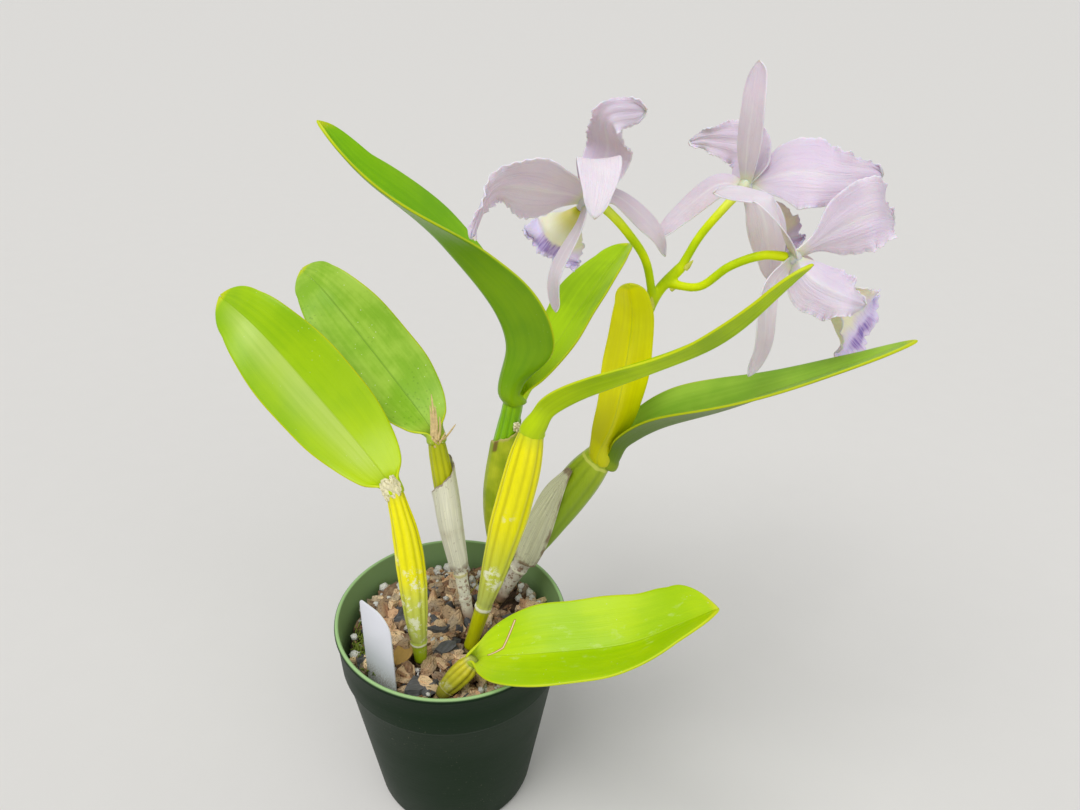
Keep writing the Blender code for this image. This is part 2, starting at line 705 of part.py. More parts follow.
def tepal_place(heart, spec, curl, ruffle=None):
    points = [heart] + spec["midrib"]
    return strip(
        points, spec["facing"], spec["twist"], even_steps(spec["half_widths"]), (0, 0), curl, ruffle,
    )


def petal_ruffle(s, u):
    """Waves that grow towards the margin in the outer part of a petal."""
    grow = min(1.0, max(0.0, (s - 0.25) / 0.4)) * abs(u) ** 3
    return 1.8 * grow * math.sin(2 * math.pi * 3.5 * s + 1.5 * (u > 0))


def make_bloom(name, spec, collection, stem_cutter):
    """Sepals, petals, heart and column of one bloom, joined as one body."""
    heart = spec["heart"]
    column = unit(spec["column"])
    parts = new_collection(name + "_parts")
    for key, sepal in spec["sepals"].items():
        grid_blade(f"{name}_sepal_{key}", parts, 4, 8, tepal_place(heart, sepal, (0.3, 0.1)), TEPAL_THICKNESS)
    for key, petal in spec["petals"].items():
        place = tepal_place(heart, petal, petal["curl"], petal_ruffle)
        grid_blade(f"{name}_petal_{key}", parts, 6, 11, place, TEPAL_THICKNESS)
    end = np.array(heart) + column * COLUMN_LENGTH
    rolled_tube(
        name + "_column", parts, [heart, (np.array(heart) + end) / 2, end],
        even_steps([COLUMN_RADIUS, COLUMN_RADIUS, COLUMN_RADIUS * 1.15, COLUMN_RADIUS * 0.6]), 4, 8,
    )
    bm = bmesh.new()
    bmesh.ops.create_icosphere(bm, subdivisions=1, radius=HEART_RADIUS, matrix=Matrix.Translation(heart))
    bloom = new_object(name, bm, collection)
    for part in parts.objects:
        face_out(apply_modifiers(part))
    union(bloom, parts)
    subtract(bloom, [stem_cutter])
    return finish(largest_body(bloom), new_material(name, LILAC, 0.5))


def face_out(obj):
    """Turns the faces of a closed mesh outwards."""
    bm = bmesh.new()
    bm.from_mesh(obj.data)
    if bm.calc_volume(signed=True) < 0:
        bmesh.ops.reverse_faces(bm, faces=bm.faces)
        bm.to_mesh(obj.data)
    bm.free()


LIP_FLOOR = [(6, -3.8), (15, -7), (26, -9.5), (36, -15), (43, -26)]
LIP_HALF_WIDTHS = [3.4, 13.2, 16.0, 15.0, 10.5]
LIP_ROLL = [60, 140, 125, 60, 15]


def make_lip(name, spec, collection):
    """The lip: rolled round the column at the base, flaring to a ruffled lobe that hangs down."""
    column = unit(spec["column"])
    up = unit(np.array(spec["up"]) - column * column.dot(spec["up"]))
    heart = np.array(spec["heart"], float)
    floor = [heart + column * out + up * rise for out, rise in LIP_FLOOR]
    samples = 120
    path = smooth_path(floor, samples)
    sides, facings = path_frames(path, up)
    widths = even_steps(LIP_HALF_WIDTHS)
    roll = even_steps([math.radians(angle) for angle in LIP_ROLL])

    def place(s, u):
        width, bend = widths(s), roll(s)
        at = (samples - 1) * max(0.0, s - 0.12 * u * u * s**4)
        grow = min(1.0, max(0.0, (s - 0.45) / 0.3)) * u * u
        wave = 2.2 * grow * math.sin(2 * math.pi * 4.5 * s + u)
        wave += 1.6 * min(1.0, max(0.0, (s - 0.8) / 0.2)) * math.sin(9 * u)
        x = width / bend * math.sin(u * bend)
        z = width / bend * (1 - math.cos(u * bend)) + wave
        centre, side, front = (
            np.array([np.interp(at, range(samples), table[:, k]) for k in range(3)])
            for table in (path, sides, facings)
        )
        return centre + side * x + front * z

    lip = grid_blade(name, collection, 12, 10, place, LIP_THICKNESS)
    return finish(lip, new_material(name, LIP_CREAM, 0.5))


def make_flower_stem(name, collection, extra=0.0):
    """The main flower stem with its three stalks, as one body; extra widens it to a cutter."""
    parts = new_collection(name + "_parts")
    stem = tube_mesh(name, collection, FLOWER_STEM, STEM_RADIUS, 10, 10, extra)
    for key, stalk in STALKS.items():
        heart = np.array(BLOOMS[key]["heart"], float)
        inward = unit(heart - np.array(stalk[-1], float))
        end = heart - inward * (HEART_RADIUS + GAP + 0.1)
        tube_mesh(f"{name}_{key}", parts, stalk + [tuple(end)], STALK_RADIUS, 8, 8, extra)
    return union(stem, parts)


def make_sheath(name, bulb, collection, start, stop, roll, facing, lean, material):
    """A dry papery sheath wrapped round part of a bulb. Roll is how far it reaches round each
    side at its base and its top, in degrees, and lean raises one side of its top edge."""
    spec = PSEUDOBULBS[bulb]
    samples = 60
    path = smooth_path(spec["axis"], samples)
    radius = even_steps(spec["radii"], 1.08)
    sides, facings = path_frames(path, facing)

    def place(s, u):
        share = min(1.0, start + (stop - start) * s + lean * s * u)
        turn = u * math.radians(roll[0] + (roll[1] - roll[0]) * s * s)
        reach = radius(share) + GAP + SHEATH_THICKNESS / 2 + 0.2
        centre, side, front = (
            np.array([np.interp(share * (samples - 1), range(samples), table[:, k]) for k in range(3)])
            for table in (path, sides, facings)
        )
        return centre + (front * math.cos(turn) + side * math.sin(turn)) * reach

    return finish(grid_blade(name, collection, 10, 6, place, SHEATH_THICKNESS), material)


def main():
    clear_scene()
    plant = new_collection("cattleya_orchid")
    cutters = new_collection("cutters", hidden=True)
    make_pot(plant, cutters)
    make_rhizome("rhizome", plant, 0.0, new_material("rhizome", (0.33, 0.25, 0.12), 0.8))
    for name, spec in PSEUDOBULBS.items():
        make_pseudobulb(name, spec, plant)
    for name, spec in LEAVES.items():
        make_leaf(name, spec, plant)
    stem = make_flower_stem("flower_stem", plant)
    finish(stem, new_material("flower_stem", STEM_GREEN, 0.35))
    stem_cutter = make_flower_stem("stem_cutter", cutters, GAP + 0.1)
    for key, spec in BLOOMS.items():
        make_bloom(f"bloom_{key}", spec, plant, stem_cutter)
        make_lip(f"lip_{key}", spec, plant)
    make_sheath(
        "sheath_back_left", "pseudobulb_back_left", plant, 0.3, 0.74, (168, 150), (0.2, -1, 0), 0.05,
        new_material("sheath_back_left", PAPER_WHITE, 0.8),
    )
    make_sheath(
        "sheath_flowering", "pseudobulb_flowering", plant, 0.3, 0.86, (120, 12), (-0.7, -0.6, 0.4), 0.0,
        new_material("sheath_flowering", PAPER_WHITE, 0.8),
    )
    make_label(plant)
    rhizome_hole = make_rhizome("rhizome_hole", cutters, 2 * GAP)
    label_hole = make_label(cutters, GAP + 0.1)
    label_hole.name = "label_hole"
    for helper in (stem_cutter, rhizome_hole, label_hole):
        hide_helper(helper)
    make_mix(plant, [rhizome_hole, label_hole])


main()
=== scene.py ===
"""Cattleya orchid in bloom: the pieces and finishes that show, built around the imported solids.

The file is laid out as an add-on and is run as a script. Each operator makes one piece or one group
of like pieces, and the stage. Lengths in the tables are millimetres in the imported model's frame:
+Z is up, the origin is the centre of the pot's base, and the front of the plant faces -Y.
"""

import math
import random

import bmesh
import bpy
import numpy as np
from bpy.props import FloatProperty, FloatVectorProperty, IntProperty, PointerProperty
from mathutils import Matrix, Vector


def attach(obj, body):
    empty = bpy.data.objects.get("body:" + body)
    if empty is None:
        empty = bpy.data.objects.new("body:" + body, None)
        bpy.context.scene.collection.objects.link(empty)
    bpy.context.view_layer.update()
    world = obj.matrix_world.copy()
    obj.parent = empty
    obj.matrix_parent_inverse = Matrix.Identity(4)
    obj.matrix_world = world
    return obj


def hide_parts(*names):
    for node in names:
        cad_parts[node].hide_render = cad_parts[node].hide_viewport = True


bl_info = {
    "name": "Cattleya orchid",
    "version": (1, 0, 0),
    "blender": (4, 5, 0),
    "location": "3D View > Sidebar > Orchid",
    "description": "Fine pieces and finishes for a potted cattleya orchid",
    "category": "Object",
}

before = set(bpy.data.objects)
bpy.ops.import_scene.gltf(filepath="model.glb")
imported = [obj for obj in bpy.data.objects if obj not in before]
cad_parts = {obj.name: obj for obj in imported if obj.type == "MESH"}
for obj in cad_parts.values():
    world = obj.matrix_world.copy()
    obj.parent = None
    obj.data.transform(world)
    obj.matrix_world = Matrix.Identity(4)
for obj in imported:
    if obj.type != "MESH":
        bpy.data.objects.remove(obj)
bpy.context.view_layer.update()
MM = 0.001

# Pot. Its wall leans out from the base, and steps out to the rim band at the shoulder
POT_HEIGHT = 123.0
POT_RIM_RADIUS = 63.5
POT_BASE_RADIUS = 45.0
POT_SHOULDER = 96.0
POT_STEP = 3.8
POT_SLOPE = (POT_RIM_RADIUS - POT_STEP - POT_BASE_RADIUS) / POT_SHOULDER
POT_WALL = 1.6
POT_SIDES = 120
DRAIN_HOLES = 4
DRAIN_RADIUS = 5.5
DRAIN_CIRCLE = 33.0

# Bark mix: the height of its rim, the rise of its middle and how wide that is, how far out loose
# pieces lie, and the room that they leave round a stem, by the label and, for chips, on top of both
MIX_TOP = 106.0
MIX_MOUND = 4.0
MOUND_SPREAD = 60.0
MIX_REACH = 53.0
STEM_ROOM = 4.4
LABEL_ROOM = 2.0
CHIP_ROOM = 1.5
MOSS_THREADS = 150

# Each pseudobulb: the points of its axis from the base up, its radius at even steps along it, how
# many ribs it has, how deep they are, and where the old scale rings circle it. A slim one is that
# much narrower below its neck, to leave room for its sheath
PSEUDOBULBS = {
    "front_left": {
        "axis": [(-14, -24, 109), (-15, -24, 138), (-17, -18, 162), (-20.5, -10, 183), (-27, 0.5, 203)],
        "radii": [3.2, 4.0, 5.0, 6.0, 6.7, 6.9, 6.5, 5.3, 4.0],
        "ribs": 9, "depth": 0.075, "rings": [0.15],
    },
    "back_left": {
        "axis": [(9, 8, 109), (4, 14, 138), (-1.5, 22, 163), (-5.5, 30, 187), (-9.8, 34.5, 214)],
        "radii": [3.2, 3.3, 3.5, 4.4, 5.2, 5.6, 5.7, 5.4, 4.4],
        "ribs": 9, "depth": 0.05, "rings": [0.13, 0.27],
    },
    "back_centre": {
        "axis": [(26, 40, 109), (24, 44, 140), (24, 44, 175), (27, 44, 205), (32, 45, 235)],
        "radii": [3.4, 4.6, 7.0, 8.6, 9.0, 8.4, 7.4, 6.2, 4.9],
        "ribs": 10, "depth": 0.06, "rings": [0.2], "slim": 0.92,
    },
    "centre": {
        "axis": [(11, -14, 109), (21, -12, 147), (29, -8, 180), (36.5, -3, 211), (42.5, 4, 239)],
        "radii": [3.6, 3.9, 4.4, 6.1, 7.6, 8.8, 8.8, 8.2, 5.8],
        "ribs": 10, "depth": 0.06, "rings": [0.225],
    },
    "flowering": {
        "axis": [(24.5, 24, 109), (39, 26, 139), (52, 27, 165), (66.5, 29, 189), (80, 30, 210)],
        "radii": [3.0, 3.6, 5.0, 7.0, 9.0, 10.3, 10.8, 10.0, 7.2],
        "ribs": 8, "depth": 0.035, "rings": [0.06, 0.235],
    },
    "short": {
        "axis": [(-1, -46, 107.5), (2.5, -44, 112), (7.5, -42, 117), (12.5, -40, 122), (16.5, -39, 127)],
        "radii": [3.2, 4.2, 4.9, 5.4, 5.7, 5.8, 5.6, 4.6, 3.4],
        "ribs": 8, "depth": 0.09, "rings": [0.2],
    },
}

# Each leaf: its midrib from base to tip, the way its upper side faces at the base, the twist of the
# blade in degrees, the rise of each half at the base and at the tip, and its half width at even steps.
# Its neck is the rolled foot that clasps the bulb: where it starts inside the bulb's top and which way
# it grows, its radius, how far it wraps round to each side in radians, and the share of the leaf it takes.
# A corner makes the tip lopsided: one half is narrower there by this share, and the other wider
LEAVES = {
    "front_left": {
        "midrib": [(-28.4, 1.4, 204.5), (-53, 22, 223), (-97, 40, 269), (-125, 62, 281)],
        "facing": (0.09, -0.55, 0.83), "twist": 28, "rise": (10, 12),
        "neck": {
            "start": (-26.3, -0.6, 200.9), "way": (-0.28, 0.45, 0.85),
            "radius": 4.5, "arc": 2.8, "share": 0.085,
        },
        "half_widths": [5.5, 16.2, 21.5, 23.6, 23.4, 21.0, 15.5, 4.5],
    },
    "back_left": {
        "midrib": [(-9.9, 35.5, 214.9), (-29, 56, 229), (-72, 82, 273), (-94, 107, 281)],
        "facing": (0.04, -0.5, 0.87), "twist": 24, "rise": (20, 10),
        "neck": {
            "start": (-9.4, 34.1, 211.2), "way": (-0.16, 0.16, 0.97),
            "radius": 4.9, "arc": 2.8, "share": 0.085,
        },
        "half_widths": [5.2, 16.6, 22.2, 23.0, 22.4, 19.4, 13.8, 4.0],
    },
    "back_upper": {
        "midrib": [(29.5, 44, 236.5), (25.3, 45, 276), (-4, 50, 315), (-38, 32, 353), (-55, 28, 377)],
        "facing": (0.76, 0.65, 0.06), "twist": 64, "rise": (39, 30),
        "neck": {
            "start": (33.0, 45.0, 231.8), "way": (0.16, 0.03, 0.99),
            "radius": 6.0, "arc": 2.3, "share": 0.2,
        },
        "half_widths": [8.5, 24.0, 31.0, 27.0, 23.5, 18.5, 12.0, 3.0],
    },
    "back_right": {
        "midrib": [(34.7, 46.9, 235.9), (53.5, 70, 254), (73.5, 105.5, 272.5), (98, 148, 289)],
        "facing": (-0.33, -0.41, 0.85), "twist": 12, "rise": (20, 28),
        "neck": {
            "start": (33.0, 46.0, 233.0), "way": (0.16, 0.03, 0.99),
            "radius": 4.6, "arc": 2.0, "share": 0.1,
        },
        "half_widths": [4.2, 12.6, 16.0, 17.0, 18.8, 17.6, 13.0, 4.5],
    },
    "right_upper": {
        "midrib": [(43.7, 3.4, 240.2), (65.5, -2, 259), (120.5, -14, 293), (152.5, -30, 337.5)],
        "facing": (-0.48, 0.51, 0.72), "twist": -5, "rise": (58, 20),
        "neck": {
            "start": (42.0, 3.6, 235.6), "way": (0.20, 0.24, 0.95),
            "radius": 6.1, "arc": 2.8, "share": 0.11,
        },
        "half_widths": [6.5, 12.2, 12.0, 11.4, 11.2, 11.4, 9.2, 3.5],
    },
    "flower_front": {
        "midrib": [(77.5, 25.5, 213), (84.5, 18.5, 242), (88, 15, 290), (83.5, 4, 315)],
        "facing": (0.24, 0.95, 0.2), "twist": -5, "rise": (39, 31),
        "neck": {
            "start": (78.6, 27.5, 206.5), "way": (0.45, 0.0, 0.89),
            "radius": 5.4, "arc": 2.0, "share": 0.12,
        },
        "half_widths": [3.6, 10.3, 12.8, 14.2, 14.3, 12.8, 9.9, 3.5],
    },
    "flower_right": {
        "midrib": [(84.6, 30, 208.5), (107, 22, 230.5), (146, 5, 256.5), (208.6, -16, 300)],
        "facing": (-0.59, 0.13, 0.79), "twist": 10, "rise": (54, 4),
        "neck": {
            "start": (82.0, 29.0, 203.0), "way": (0.5, 0.0, 0.87),
            "radius": 6.0, "arc": 2.0, "share": 0.11,
        },
        "half_widths": [4.2, 14.7, 21.6, 21.0, 17.8, 13.2, 8.3, 3.2],
    },
    "short": {
        "midrib": [(17.6, -38.9, 128.8), (46, -48, 141), (92, -51.5, 153.5), (131, -56.2, 181)],
        "facing": (-0.39, -0.31, 0.87), "twist": 13, "rise": (26, 28), "corner": 0.2,
        "neck": {
            "start": (15.0, -39.3, 125.0), "way": (0.62, 0.15, 0.77),
            "radius": 4.2, "arc": 2.8, "share": 0.07,
        },
        "half_widths": [4.0, 17.5, 23.6, 24.9, 25.0, 22.8, 17.5, 5.0],
    },
}

# Each bloom: the place of its heart, the way its column points, its up side, how wide its lip spreads,
# and its tepals. The patch says where along the lip the purple starts, and how yellow the outside of
# the throat is. A tepal has its midrib from the heart out, the way its inner side faces, its twist, its
# half widths and, for a petal, the curl of each half at the base and at the tip in radians
BLOOMS = {
    "left": {
        "heart": (64, 20, 348), "column": (-0.36, 0.5, -0.68), "up": (0.3, 0.9, 0.2), "spread": 0.9,
        "patch": (0.73, 0.75),
        "sepals": {
            "dorsal": {
                "midrib": [(67, 8, 367.5), (67, -10, 363.5), (65.2, -20, 350)],
                "facing": (-0.1, 0.87, 0.46), "twist": 0,
                "half_widths": [2.5, 5.9, 8.7, 9.4, 8.5, 6.0, 0.9],
            },
            "right": {
                "midrib": [(78, 28, 347.5), (95.5, 22, 334), (101.6, 22.5, 321.7)],
                "facing": (-0.35, 0.56, -0.75), "twist": -13,
                "half_widths": [2.5, 4.4, 4.9, 5.4, 5.2, 3.4, 1.0],
            },
            "low": {
                "midrib": [(61, 9.6, 339), (51, 3, 319), (51.8, 7.1, 299)],
                "facing": (-0.9, -0.1, 0.42), "twist": 60,
                "half_widths": [2.5, 3.0, 3.5, 3.7, 3.7, 3.3, 1.0],
            },
        },
        "petals": {
            "left": {
                "midrib": [(51.5, 10.5, 353), (25, 5, 355), (14.7, -7.5, 336.7)],
                "facing": (-0.26, 0.69, 0.68), "twist": -6, "curl": (-0.3, 0.2),
                "half_widths": [2.5, 9.8, 18.5, 18.0, 8.0, 4.6, 1.5],
            },
            "right": {
                "midrib": [(72.5, 28, 367), (70, 8, 384), (86, 11.5, 387)],
                "facing": (0.01, 0.88, -0.48), "twist": 33, "curl": (0.4, -0.24),
                "half_widths": [2.5, 8.9, 11.2, 10.4, 7.0, 6.8, 1.8],
            },
        },
    },
    "top": {
        "heart": (138, 40, 351), "column": (0.7, 0.56, -0.45), "up": (0.1, 0.3, 0.95), "spread": 0.84,
        "patch": (0.8, 0.2),
        "sepals": {
            "dorsal": {
                "midrib": [(136, 37.5, 368), (135.6, 37.5, 387), (137.2, 44.5, 404.6)],
                "facing": (0.66, 0.6, -0.45), "twist": 0,
                "half_widths": [2.5, 4.8, 6.2, 6.7, 6.4, 5.8, 1.0],
            },
            "left": {
                "midrib": [(125.5, 44, 350), (110, 44, 336), (99.5, 34, 327)],
                "facing": (0.02, 0.70, -0.71), "twist": 2,
                "half_widths": [2.5, 5.8, 7.0, 7.0, 6.2, 4.6, 1.0],
            },
            "low": {
                "midrib": [(146.4, 35, 340), (151.3, 32, 324), (152.8, 26, 310)],
                "facing": (0.38, 0.92, -0.12), "twist": 4,
                "half_widths": [2.5, 5.9, 8.4, 9.0, 7.8, 5.2, 1.0],
            },
        },
        "petals": {
            "left": {
                "midrib": [(141, 59.5, 364.7), (124, 66, 366.5), (115.2, 71.8, 364.1)],
                "facing": (0.71, 0.31, -0.64), "twist": 13, "curl": (0.38, -0.2),
                "half_widths": [2.5, 10.5, 11.2, 11.8, 9.5, 5.6, 1.5],
            },
            "right": {
                "midrib": [(160, 41, 357.5), (180, 36, 357.4), (200.1, 39.6, 358)],
                "facing": (0.3, 0.74, -0.6), "twist": -14, "curl": (0.4, -0.2),
                "half_widths": [2.5, 8.2, 16.4, 17.2, 13.0, 9.2, 1.8],
            },
        },
    },
    "right": {
        "heart": (158, 14, 326), "column": (0.77, 0.0, -0.64), "up": (0.3, -0.85, 0.5), "spread": 1.18,
        "patch": (0.86, 0.5),
        "sepals": {
            "dorsal": {
                "midrib": [(142.5, 7, 349.5), (134, 10.5, 353.6), (116, 4, 356)],
                "facing": (0.78, 0.2, 0.58), "twist": 60,
                "half_widths": [2.8, 6.4, 7.8, 7.8, 7.0, 5.0, 1.0],
            },
            "near": {
                "midrib": [(147.2, 5.5, 313.1), (146.9, 0, 288.2), (140.1, -8, 276.2)],
                "facing": (0.58, -0.81, 0.07), "twist": -28,
                "half_widths": [2.5, 4.0, 5.1, 5.0, 4.8, 3.6, 1.0],
            },
            "far": {
                "midrib": [(170, 30, 315), (181, 40, 302), (188, 44, 287)],
                "facing": (0.86, 0.12, -0.50), "twist": 0,
                "half_widths": [2.5, 4.4, 5.4, 5.6, 5.2, 3.6, 1.0],
            },
        },
        "petals": {
            "near": {
                "midrib": [(164.8, 1, 319.8), (176, -11.5, 317), (185.5, -8.5, 312.8)],
                "facing": (0.45, 0.57, -0.68), "twist": 2, "curl": (0.3, -0.2), "rise": (34, 16),
                "half_widths": [2.5, 10.6, 14.0, 14.0, 12.8, 8.0, 2.0],
            },
            "far": {
                "midrib": [(178.3, 19.5, 338), (195, 24, 344.6), (211, 43, 337)],
                "facing": (-0.4, 0.88, 0.25), "twist": 56, "curl": (0.31, -0.2),
                "half_widths": [2.5, 5.0, 14.0, 16.8, 15.8, 10.0, 2.0],
            },
        },
    },
}

# The lip: its floor as steps along and across the column, its half widths, and how far each half
# rolls up in degrees, at even steps
LIP_FLOOR = {
    "left": [(5, -3.8), (13, -5), (23, -6), (31, -7), (37, -9)],
    "top": [(6, -3.8), (15, -7), (26, -9.5), (35, -13), (41, -20)],
    "right": [(6, -3.8), (20, -6), (37, -7), (52, -8), (63, -10)],
}
LIP_HALF_WIDTHS = [4.5, 12.0, 15.5, 16.5, 17.5]
LIP_ROLL = [150, 150, 110, 40, -12]
HEART_RADIUS = 3.6
COLUMN_LENGTH = 20.0

FLOWER_STEM = [(80.3, 35.2, 211.1), (86, 36, 236), (93, 34, 270), (100, 31, 299), (112, 30, 316)]
STALKS = {
    "left": [(99, 30, 297), (93, 23, 319), (83, 17, 334), (73, 17, 344)],
    "top": [(111, 30, 315), (118, 30, 330), (128, 32, 343)],
    "right": [(106, 30, 306), (119, 22, 308), (130, 16, 320), (143, 12, 327)],
}
STEM_RADIUS = 3.0
STALK_RADIUS = 2.1

# Shreds of old scale near the tops of three bulbs: what they are made of, the record slot they go
# with, and for each shred its midrib, the way it faces and its half widths
HUSKS = {
    "husk_front_left": ("pale", "leaf", [
        (
            [(-25.2, -4.6, 200.0), (-28.0, -4.3, 205.5), (-31.5, -2.8, 211)],
            (0.05, -0.87, 0.5), [3.0, 4.8, 5.0, 3.2, 1.0],
        ),
        (
            [(-23.6, -3.9, 202), (-25.2, -3.4, 207), (-27.2, -2.0, 213)],
            (0.5, -0.75, 0.4), [2.2, 3.2, 3.4, 2.0, 0.6],
        ),
        (
            [(-28.6, -4.9, 199.5), (-30.6, -3.8, 203.5), (-33.0, -2.0, 208)],
            (-0.3, -0.8, 0.5), [1.6, 2.6, 2.4, 0.8],
        ),
    ]),
    "husk_back_left": ("brown", "leaf", [
        (
            [(-9.4, 29.9, 210.0), (-9.8, 29.9, 213.5), (-10.6, 31.0, 217.0)],
            (0.05, -0.9, 0.4), [2.4, 3.7, 2.6, 0.6],
        ),
        (
            [(-11.6, 30.6, 214.5), (-11.4, 32.5, 223), (-12.2, 35.4, 233)],
            (0, -0.9, 0.4), [0.9, 0.8, 0.5, 0.15],
        ),
        (
            [(-10.4, 30.5, 215.0), (-10.2, 32.8, 225), (-11.4, 36.6, 239)],
            (0, -0.9, 0.4), [1.3, 1.1, 0.6, 0.15],
        ),
        (
            [(-9.2, 30.3, 215.0), (-8.7, 32.4, 223), (-9.6, 35.2, 233)],
            (0.1, -0.9, 0.4), [0.9, 0.8, 0.5, 0.15],
        ),
        (
            [(-8.0, 30.4, 214.5), (-6.9, 32.2, 220.5), (-7.2, 34.4, 227)],
            (0.2, -0.9, 0.3), [0.8, 0.7, 0.4, 0.15],
        ),
        (
            [(-6.4, 31.6, 213.0), (-2.6, 31.2, 218.0), (1.6, 31, 224.5)],
            (0.3, -0.9, 0.2), [0.55, 0.5, 0.35, 0.12],
        ),
        (
            [(-7.4, 30.6, 212.5), (-5.6, 30.0, 216), (-3.8, 30.0, 220)],
            (0.2, -0.9, 0.3), [0.6, 0.5, 0.35, 0.12],
        ),
    ]),
    "husk_back_centre": ("pale", "pseudobulb_green", [
        (
            [(33.2, 39.2, 216.4), (34.0, 38.6, 219.2), (33.2, 38.6, 222)],
            (0.4, -0.9, 0.2), [1.4, 2.4, 2.0, 0.6],
        ),
    ]),
}

LABEL = {"width": 22.0, "length": 62.0, "thickness": 0.9, "foot": (-31.5, -40.5, 92), "turn": -38}
LABEL_LEAN = (-3.0, 7.0)
LABEL_CORNERS = ((0.5, 0.0115), (-0.5, 0.0025))
LABEL_CUTS = (0.02, 0.035)

# How finely each kind of sheet is divided, along it and across it
LEAF_GRID = (56, 22)
SHEATH_GRID = (48, 72)
SEPAL_GRID = (40, 16)
PETAL_GRID = (84, 44)
LIP_GRID = (84, 72)

# How blunt the tips of blades are, how soft the crease of a fold is, and the share of a tube that
# each of its round ends takes
LEAF_TIP = 0.6
SEPAL_TIP = 0.75
PETAL_TIP = 0.55
CREASE = 0.004
TUBE_END = 0.02

# In metres
SCALE_THICKNESS = 0.0004
STEM_VOXEL = 0.00065

SOFT_PETAL = {"Specular_IOR_Level": 0.3, "Subsurface_Weight": 0.25, "Subsurface_Scale": 0.004}

# The camera that the photograph was fitted with
CAMERA_PLACE = (45.784, -339.887, 438.648)
CAMERA_FORWARD = (0.0, 0.87901689, -0.47679064)
CAMERA_RIGHT = (0.99959217, 0.01361556, 0.02510181)
CAMERA_LENS = 27.033


def shade(red, green, blue):
    """A colour given in display values from 0 to 255, in Blender's linear values."""
    return tuple(
        v / 12.92 if v <= 0.04045 else ((v + 0.055) / 1.055) ** 2.4
        for v in (red / 255, green / 255, blue / 255)
    )


def colour_setting(name, description, red, green, blue):
    return FloatVectorProperty(
        name=name, description=description, subtype="COLOR", size=3, min=0, max=1,
        default=shade(red, green, blue),
    )


def count_setting(name, description, default, most):
    return IntProperty(name=name, description=description, default=default, min=0, max=most)


def number_setting(name, description, default, low, high, unit="NONE"):
    return FloatProperty(name=name, description=description, default=default, min=low, max=high, unit=unit)


class OrchidPlant(bpy.types.PropertyGroup):
    """Sizes and colours of the plant."""

    leaf_thickness: number_setting(
        "Leaf thickness", "How thick a leaf is away from its margin", 0.0015, 0.0006, 0.003, "LENGTH",
    )
    petal_thickness: number_setting(
        "Petal thickness", "How thick a petal or sepal is", 0.0007, 0.0004, 0.0015, "LENGTH",
    )
    frill: number_setting(
        "Frill", "Height of the fine waves along a petal's margin", 0.0009, 0.0, 0.002, "LENGTH",
    )
    leaf_margin: colour_setting("Leaf margin", "Yellow line along a leaf's edge", 205, 214, 20)
    leaf_old: colour_setting("Old leaf", "Colour of the leaf that turns yellow", 252, 248, 0)
    bulb_yellow: colour_setting("Bulb yellow", "Ripe pseudobulbs", 238, 230, 0)
    bulb_green: colour_setting("Bulb green", "Young pseudobulbs", 150, 205, 0)
    paper: colour_setting("Dry sheath", "Papery sheaths round the bulbs", 248, 246, 226)
    scorch: colour_setting("Sheath brown", "Freckles and torn edges of the sheaths", 116, 78, 50)
    petal: colour_setting("Petal lilac", "Inner side of petals and sepals", 222, 207, 228)
    petal_back: colour_setting("Petal back", "Outer side of petals and sepals", 229, 216, 228)
    petal_vein: colour_setting("Petal veins", "Veins that show through a petal", 196, 172, 212)
    lip_cream: colour_setting("Lip cream", "Tube of the lip", 240, 234, 205)
    lip_yellow: colour_setting("Throat yellow", "Inside of the lip's throat", 214, 198, 60)
    lip_purple: colour_setting("Lip purple", "Veined patch on the lip's front lobe", 118, 92, 176)
    stem_green: colour_setting("Stem green", "Flower stem and its stalks", 238, 250, 0)


class OrchidPot(bpy.types.PropertyGroup):
    """Counts and colours of the pot, its mix and the label."""

    bark_count: count_setting("Bark chips", "How many bark chips lie on top of the mix", 270, 900)
    charcoal_count: count_setting("Charcoal", "How many pieces of charcoal lie among the bark", 60, 300)
    perlite_count: count_setting("Perlite", "How many white perlite grains lie on the mix", 170, 600)
    crumb_count: count_setting("Crumbs", "How many small bark crumbs fill the gaps", 620, 2000)
    pot_green: colour_setting("Pot green", "Outside of the plastic pot", 13, 36, 14)
    # Painted light: the lighter green that the lip and the inner wall show where light falls on them.
    pot_lit_green: colour_setting("Pot lip", "Thin upper edge and inside of the pot", 146, 178, 122)
    bark: colour_setting("Bark", "Fresh bark", 232, 202, 160)
    bark_dark: colour_setting("Dark bark", "Weathered bark", 150, 120, 96)
    charcoal: colour_setting("Charcoal", "Charcoal pieces", 80, 80, 80)
    perlite: colour_setting("Perlite", "Perlite grains", 224, 222, 216)
    moss: colour_setting("Moss", "Moss near the rim", 112, 128, 40)
    label: colour_setting("Label", "Blank plastic label", 222, 223, 230)


class OrchidStage(bpy.types.PropertyGroup):
    """The floor and the light."""

    floor: colour_setting("Floor", "Plain pale floor", 222, 220, 216)
    key_power: number_setting("Key light", "Strength of the soft light from above, on the left", 1.7, 0, 20)
    fill_power: number_setting("Fill light", "Strength of the soft light from beside the camera", 0.7, 0, 20)
    sky: number_setting("Surround", "Brightness of the even light from all round", 0.42, 0, 5)


class OrchidSettings(bpy.types.PropertyGroup):
    """All that a user would change."""

    plant: PointerProperty(type=OrchidPlant, name="Plant", description="Sizes and colours of the plant")
    pot: PointerProperty(type=OrchidPot, name="Pot", description="The pot, its mix and the label")
    stage: PointerProperty(type=OrchidStage, name="Stage", description="The floor and the light")


class Wire:
    """What one node gives and others take."""

    def __init__(self, finish, socket):
        self.finish = finish
        self.socket = socket


